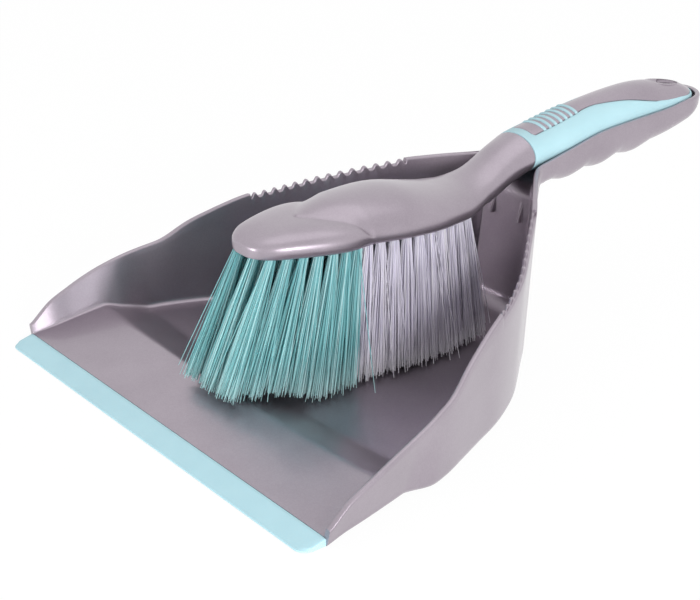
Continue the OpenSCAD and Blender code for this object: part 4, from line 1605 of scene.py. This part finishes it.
    def soft_skin(self, finish: bpy.types.Material) -> bpy.types.Object:
        """Builds the soft skin of the grip, with a recess that the panel lies in.

        Args:
            finish: Its material.

        Returns:
            The skin.
        """
        start, front, panel_end = self.collar_y + 0.1, self.panel_start, self.panel_end
        end = np.sin(np.radians(np.linspace(0, 78, 30))) / math.sin(math.radians(FLAT_FROM))
        ys = np.concatenate((
            start + self.skin_edge * (1 - np.cos(QUARTER)),
            np.arange(start + 1.2, front - 0.6, 0.8),
            front + np.array((-0.45, -0.2, -0.08, -0.02, 0.0, 0.3, 0.8, 1.2, 1.6)),
            np.arange(front + 2.4, self.rounded_from, 1.2),
            self.rounded_from + self.end_round * end, [self.end_y]))
        edge_in = np.zeros(len(ys))
        edge_in[:4] = self.skin_edge * (1 - np.sin(QUARTER))
        # The recess may go no deeper than this: it ends in a small rounding at both ends.
        limit = np.interp(ys, (front - 0.45, front - 0.2, front - 0.08, front - 0.02, front),
                          (0, 0.1, 0.3, 0.5, self.recess))
        limit = np.where(ys > front, self.recess, limit)
        behind = (panel_end - 0.1, panel_end + 0.1, panel_end + 0.4)
        limit = np.minimum(limit, np.interp(ys, behind, (self.recess, 0.35, 0)))
        line = self.panel_half(np.clip(ys, front, panel_end)) + self.panel_gap / 2
        line = np.minimum(line, 0.93 * self.half(ys))[:, None]  # some skin stays at the sides
        half = self.half(ys)[:, None]
        u = np.linspace(0, 1, 14)
        top_x = line * u[None, :]
        top_depth = np.repeat(np.minimum(self.recess, limit)[:, None], len(u), axis=1)
        lip_x = line + np.minimum(np.array((0.0, 0.05, 0.2, 0.45))[None, :], 0.06 * half)
        lip_depth = np.minimum(np.array(self.seam_depths)[None, :], limit[:, None])
        start_a = np.arcsin(np.clip(lip_x[:, -1:] / half, 0, 0.999))
        side_a = start_a + (math.pi / 2 - start_a) * np.linspace(0, 1, 15)[None, 1:]
        side_x = half * np.sin(side_a)
        depth = np.concatenate((top_depth, lip_depth, 0 * side_x), axis=1)
        upper = self.grip_rows(ys, np.concatenate((top_x, lip_x, side_x), axis=1), False,
                               np.maximum(depth, edge_in[:, None]))
        low_x = half * np.sin(np.radians(np.linspace(90, 0, 21)))[None, 1:]
        depth = np.repeat(edge_in[:, None], low_x.shape[1], axis=1)
        lower = self.grip_rows(ys, low_x, True, depth)
        rings = both_halves(np.concatenate((upper, lower), axis=1))
        piece = make_piece("grip_skin", *closed_tube(rings), finish)
        gap = self.boss_gap
        combine(piece, self.dish_solid(self.boss_margin + gap, self.boss_depth + gap, finish),
                Cut.AWAY)
        combine(piece, self.bore(self.bore_gap, finish), Cut.AWAY)
        return piece

    def build(self, plastic: bpy.types.Material, rubber: bpy.types.Material) -> None:
        """Makes the brush's hard and soft pieces and ties them to the brush.

        Args:
            plastic: The hard parts' material.
            rubber: The soft parts' material.
        """
        head = self.head(plastic)
        combine(head, Bristles(self).holes(plastic), Cut.AWAY)
        place(head, Body.BRUSH, Slot.GREY, "brush_core")
        place(self.panel(plastic), Body.BRUSH, Slot.GREY, "brush_core")
        place(self.soft_skin(rubber), Body.BRUSH, Slot.GRIP, "brush_grip")
        place(self.soft_ribs(rubber), Body.BRUSH, Slot.GRIP, "brush_core")


# ---- Bristles -----------------------------------------------------------------------------
@dataclass
class Bristles:
    """Tufts of filaments in rows across the head, teal in front and white behind."""

    brush: Brush
    teal_rows: int = 7
    white_rows: int = 10
    tuft_d: float = 4.2
    tip_d: float = 5.8
    row_pitch: float = 6.4
    row_start: float = 8.0
    wide_row: float = 14.0  # half width over which a row has five tufts instead of three
    edge_gap: float = 4.0
    hole_depth: float = 5.5
    hole_out: float = 3.0  # how far the solid that cuts a hole stands out of the head
    tip_gap: float = 1.5
    front_lean: float = 25.0
    back_lean: float = 8.0
    centre: float = 0.735  # where on the head the tufts stand straight
    splay: float = 1.08  # how much wider a row is at its tips than at its roots
    front_splay: float = 0.2  # how fast that grows towards the nose
    front_part: float = 0.6  # share of the head, from the nose, where it grows
    filaments: int = 96
    thickness: float = 0.48
    taper: float = 0.75  # how thick a tip is beside its root
    sunk: float = 2.5  # how deep in the hole a filament starts
    hole_gap: float = 0.25  # how far the outer filaments stay off the hole's wall
    fan: float = 1.9  # how much further the loose tips spread
    ruffle: float = 0.9  # how unevenly they spread
    cut: tuple[float, float] = (0.2, 1.1)  # mean and spread of a filament's extra length
    crimp: float = 0.5  # how far a filament bows and bends
    stray: float = 0.05  # share of filaments that spread further than their tuft
    stray_reach: tuple[float, float] = (1.2, 2.0)
    wild: float = 0.012  # share of filaments that stand off across their neighbours
    wild_reach: float = 6.0
    floor_gap: float = 0.5  # how far a filament stays off the pan's floor
    segments: int = 7  # of a filament
    sides: int = 3
    seed: int = 1000

    def row_y(self, k: int) -> float:
        """Where a row's holes lie along the set."""
        return self.brush.nose_y + self.row_start + k * self.row_pitch

    def row_xs(self, k: int) -> list[float]:
        """Where a row's tufts lie across the set.

        Args:
            k: The row's number.

        Returns:
            Each tuft's place.
        """
        reach = float(self.brush.half(np.array(self.row_y(k)))) - self.edge_gap
        pairs = 2 if reach > self.wide_row else 1
        return [reach * i / pairs for i in range(-pairs, pairs + 1)]

    def ends(self, k: int, x: float) -> tuple[Points, Points]:
        """The middle of a tuft at the head's underside and at its tips.

        Args:
            k: The row's number.
            x: The tuft's place across the set.

        Returns:
            The two points.
        """
        y = self.row_y(k)
        t = float(self.brush.share(y))
        off = t - self.centre
        if off < 0:
            furthest = self.centre - self.row_start / self.brush.head_l
            lean = -self.front_lean * (-off / furthest) ** 1.5
        else:
            lean = self.back_lean * (off / (1 - self.centre)) ** 1.5
        spread = self.splay + self.front_splay * max(0.0, self.front_part - t)
        root = np.array((x, y, float(self.brush.under_head(y))))
        low = self.ground(y + lean) + self.tip_gap + self.tip_d / 4
        return root, np.array((x * spread, y + lean, low))

    def ground(self, y: float) -> float:
        """Height of the pan's floor under a tuft.

        Args:
            y: Where the tuft ends along the set.

        Returns:
            The height.
        """
        pan = self.brush.pan
        if y >= pan.slope_end + self.tip_d:
            return pan.floor
        return pan.crest_h if y <= pan.crest_y + 2 else float(pan.ramp.at(y - self.tip_d))

    def axes(self, root: Points, tip: Points) -> tuple[Points, Points, Points]:
        """A tuft's own directions.

        Args:
            root: Its middle at the head's underside.
            tip: Its middle at its tips.

        Returns:
            The direction along it, and two across it.
        """
        along = (tip - root) / np.linalg.norm(tip - root)
        side = np.cross(along, (0, 1, 0))
        side /= np.linalg.norm(side)
        return along, side, np.cross(along, side)

    def holes(self, finish: bpy.types.Material) -> bpy.types.Object:
        """The tuft holes.

        Args:
            finish: Their material.

        Returns:
            One set of solids to cut from the head.
        """
        turn = np.linspace(0, 2 * math.pi, 16, endpoint=False)
        solids = []
        for k in range(self.teal_rows + self.white_rows):
            for x in self.row_xs(k):
                root, tip = self.ends(k, x)
                along, side, other = self.axes(root, tip)
                solids.append(closed_tube(np.array([
                    [root + along * depth + self.tuft_d / 2 * (
                        math.cos(a) * side + math.sin(a) * other) for a in turn]
                    for depth in (-self.hole_depth, self.hole_out)])))
        return make_piece("holes", *gathered(solids), finish)

    def tuft(self, k: int, x: float, rng: np.random.Generator) -> tuple[Points, Faces]:
        """Builds one tuft, filament by filament.

        Args:
            k: The row's number.
            x: The tuft's place across the set.
            rng: The row's random numbers.

        Returns:
            Its points and faces.
        """
        n, segments, sides = self.filaments, self.segments, self.sides
        root, tip = self.ends(k, x)
        along, side, other = self.axes(root, tip)
        across = np.array((side, other))
        # Where each filament stands in the tuft: evenly spread, on a golden spiral.
        i = np.arange(n)
        turn = i * math.pi * (3 - math.sqrt(5)) + rng.uniform(0, 6.28)
        flat = np.column_stack((np.cos(turn), np.sin(turn))) * np.sqrt((i + 0.5) / n)[:, None]
        start = root - self.sunk * along + (self.tuft_d / 2 - self.hole_gap) * (flat @ across)
        # Where its tip ends up.
        loose = flat * (self.tip_d / 2 + self.fan) + rng.normal(0, self.ruffle, (n, 2))
        stray = rng.random(n) < self.stray
        loose[stray] *= rng.uniform(*self.stray_reach, (stray.sum(), 1))
        wild = rng.random(n) < self.wild
        loose[wild] += rng.normal(0, self.wild_reach, (wild.sum(), 2))
        end = tip + loose @ across
        end += along * rng.normal(*self.cut, n)[:, None]
        # The line between the two, bowed a little and kept off the floor.
        bend = flat * self.crimp + rng.normal(0, self.crimp, (n, 2))
        bow = (start + end) / 2 + bend @ across
        s = np.linspace(0, 1, segments + 1)[None, :, None]
        path = (start[:, None] * (1 - s) ** 2 + 2 * bow[:, None] * s * (1 - s)
                + end[:, None] * s**2)
        floor = self.brush.pan.floor_at(path[..., 0], path[..., 1]) + self.floor_gap
        path[..., 2] = np.maximum(path[..., 2], floor)
        # A thin tube along that line, closed at its tip.
        thick = self.thickness / 2 * np.linspace(1, self.taper, segments + 1)
        spin = rng.uniform(0, 6.28, n)
        ring = []
        for j in range(sides):
            a = spin + 2 * math.pi * j / sides
            out = np.cos(a)[:, None] * side + np.sin(a)[:, None] * other
            ring.append(path + thick[None, :, None] * out[:, None])
        tubes = np.stack(ring, axis=2).reshape(n, -1, 3)
        per = tubes.shape[1]
        faces = tube_faces(segments + 1, sides) + [tuple(range(per - sides, per))]
        return gathered((tube, faces) for tube in tubes)

    def row(self, k: int, name: str, finish: bpy.types.Material) -> bpy.types.Object:
        """Builds one row of tufts.

        Args:
            k: The row's number.
            name: The piece's name.
            finish: Its material.

        Returns:
            The row.
        """
        rng = np.random.default_rng(self.seed + k)
        points, faces = gathered(self.tuft(k, x, rng) for x in self.row_xs(k))
        mesh = bpy.data.meshes.new(name)
        mesh.from_pydata(row_frame(points).tolist(), [], faces)
        mesh.shade_smooth()
        mesh.materials.append(finish)
        return show(name, mesh)

    def build(self, teal: bpy.types.Material, white: bpy.types.Material,
              wire: bpy.types.Material) -> None:
        """Makes the rows, ties them to the brush and gives the wire anchors their finish.

        Args:
            teal: The front rows' material.
            white: The rear rows' material.
            wire: The anchors' material.
        """
        for k in range(self.teal_rows + self.white_rows):
            if k < self.teal_rows:
                word, number, slot, finish = "teal", k + 1, Slot.TEAL, teal
            else:
                word, number, slot, finish = "white", k + 1 - self.teal_rows, Slot.WHITE, white
            place(self.row(k, f"{word}_bristles_{number}", finish), Body.BRUSH, slot,
                  f"{word}_tufts_{number}")
        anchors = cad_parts["tuft_anchors"]
        anchors.data.materials.clear()
        anchors.data.materials.append(wire)
        LOG.info("tuft_anchors: finish only")


# ---- Studio -------------------------------------------------------------------------------
@dataclass(frozen=True)
class Lamp:
    """A round soft lamp that faces the set. Its sizes are in metres, its power in watts."""

    name: str
    at: tuple[float, float, float]
    size: float
    power: float
    mirrored: bool = True  # whether glossy skins show it


@dataclass
class Studio:
    """A white table under soft light, and the camera. Its sizes are in metres."""

    camera_at: tuple[float, float, float] = (0.51202, -0.46094, 0.32708)
    camera_turn: tuple[float, float, float] = (65.69, 0.0, 51.53)
    lens: float = 83.31
    film: float = 36.0  # width of the camera's picture, in millimetres as its lens
    world_light: float = 0.8
    white: str = "#ffffff"
    lit: tuple[float, float, float] = (0.0, 0.0, 0.04)  # what the lamps face
    lamps: tuple[Lamp, ...] = (
        Lamp("left", (-0.14, -1.0, 0.065), 0.12, 1.8),
        Lamp("front", (1.0, -0.55, 0.065), 0.12, 0.4),
        Lamp("right", (1.1, -0.28, 0.075), 0.14, 2.8),
        Lamp("fill", (1.1, -0.49, 0.35), 0.26, 9.5, mirrored=False),
        Lamp("top", (-0.1, 0.1, 1.0), 0.9, 1.0))
    table_reach: float = 1.6
    table_low: float = 0.0002  # how far its top lies under the pan's foot

    def camera(self) -> None:
        """Sets up the camera."""
        data = bpy.data.cameras.new("camera")
        data.lens, data.sensor_width = self.lens, self.film
        made = show("camera", data)
        made.location = self.camera_at
        made.rotation_euler = [math.radians(a) for a in self.camera_turn]
        bpy.context.scene.camera = made

    def light(self) -> None:
        """Sets up the lamps, which all face the middle of the set."""
        for lamp in self.lamps:
            data = bpy.data.lights.new(lamp.name, "AREA")
            data.shape, data.size, data.energy = "DISK", lamp.size, lamp.power
            made = show(lamp.name, data)
            made.location, made.visible_glossy = lamp.at, lamp.mirrored
            x, y, z = way = np.array(self.lit) - np.array(lamp.at)
            made.rotation_euler = (math.acos(-z / np.linalg.norm(way)), 0.0,
                                   math.atan2(y, x) - math.pi / 2)

    def world(self) -> None:
        """Makes the surroundings white to the eye and softer as a light."""
        world = bpy.data.worlds.new("studio")
        bpy.context.scene.world = world
        world.use_nodes = True
        tree = world.node_tree
        tree.nodes.clear()
        level = add_node(tree, "ShaderNodeMapRange", {
            "Value": looked_at(tree), "To Min": self.world_light, "To Max": 1.0})
        back = add_node(tree, "ShaderNodeBackground", {
            "Color": linear(self.white), "Strength": level.outputs[0]})
        add_node(tree, "ShaderNodeOutputWorld", {"Surface": back.outputs[0]})

    def floor(self, finish: bpy.types.Material) -> None:
        """Lays the table top under the set.

        Args:
            finish: Its material.
        """
        corners = [(x * self.table_reach, y * self.table_reach, -self.table_low)
                   for x, y in ((-1, -1), (1, -1), (1, 1), (-1, 1))]
        mesh = bpy.data.meshes.new("table_top")
        mesh.from_pydata(corners, [], [(0, 1, 2, 3)])
        mesh.materials.append(finish)
        made = show("table_top", mesh)

    def build(self) -> None:
        """Sets up the whole studio."""
        bpy.context.scene.view_settings.view_transform = "Standard"
        self.camera()
        self.light()
        self.world()
        self.floor(StudioPaper().make())


def main() -> None:
    """Builds the studio, the pan, the brush and its bristles."""
    logging.basicConfig(level=logging.INFO, format="%(message)s")
    Studio().build()
    plastic = PearlPolypropylene().make()
    lip_rubber = SoftRubber("Thermoplastic rubber, overmoulded, pale sky blue",
                            light="#add0d9", dark="#a2c5cf").make()
    grip_rubber = SoftRubber("Thermoplastic rubber, overmoulded, ice blue",
                             light="#a4c5cd", dark="#9abbc3").make()
    pan = Pan()
    pan.build(plastic, lip_rubber)
    brush = Brush(pan)
    brush.build(plastic, grip_rubber)
    # Each root colour is painted shade under the head; the paler tips are the split ends.
    teal = PolyesterFilament("Polyester filament, drawn, teal",
                             root="#a2e8ed", body="#b2f2f5", tip="#e2fdfe").make()
    white = PolyesterFilament("Polyester filament, drawn, white",
                              root="#f6f3ff", body="#f8f5ff", tip="#fdfbff", spread=0.05).make()
    Bristles(brush).build(teal, white, DrawnSteelWire().make())


if __name__ == "__main__":
    main()
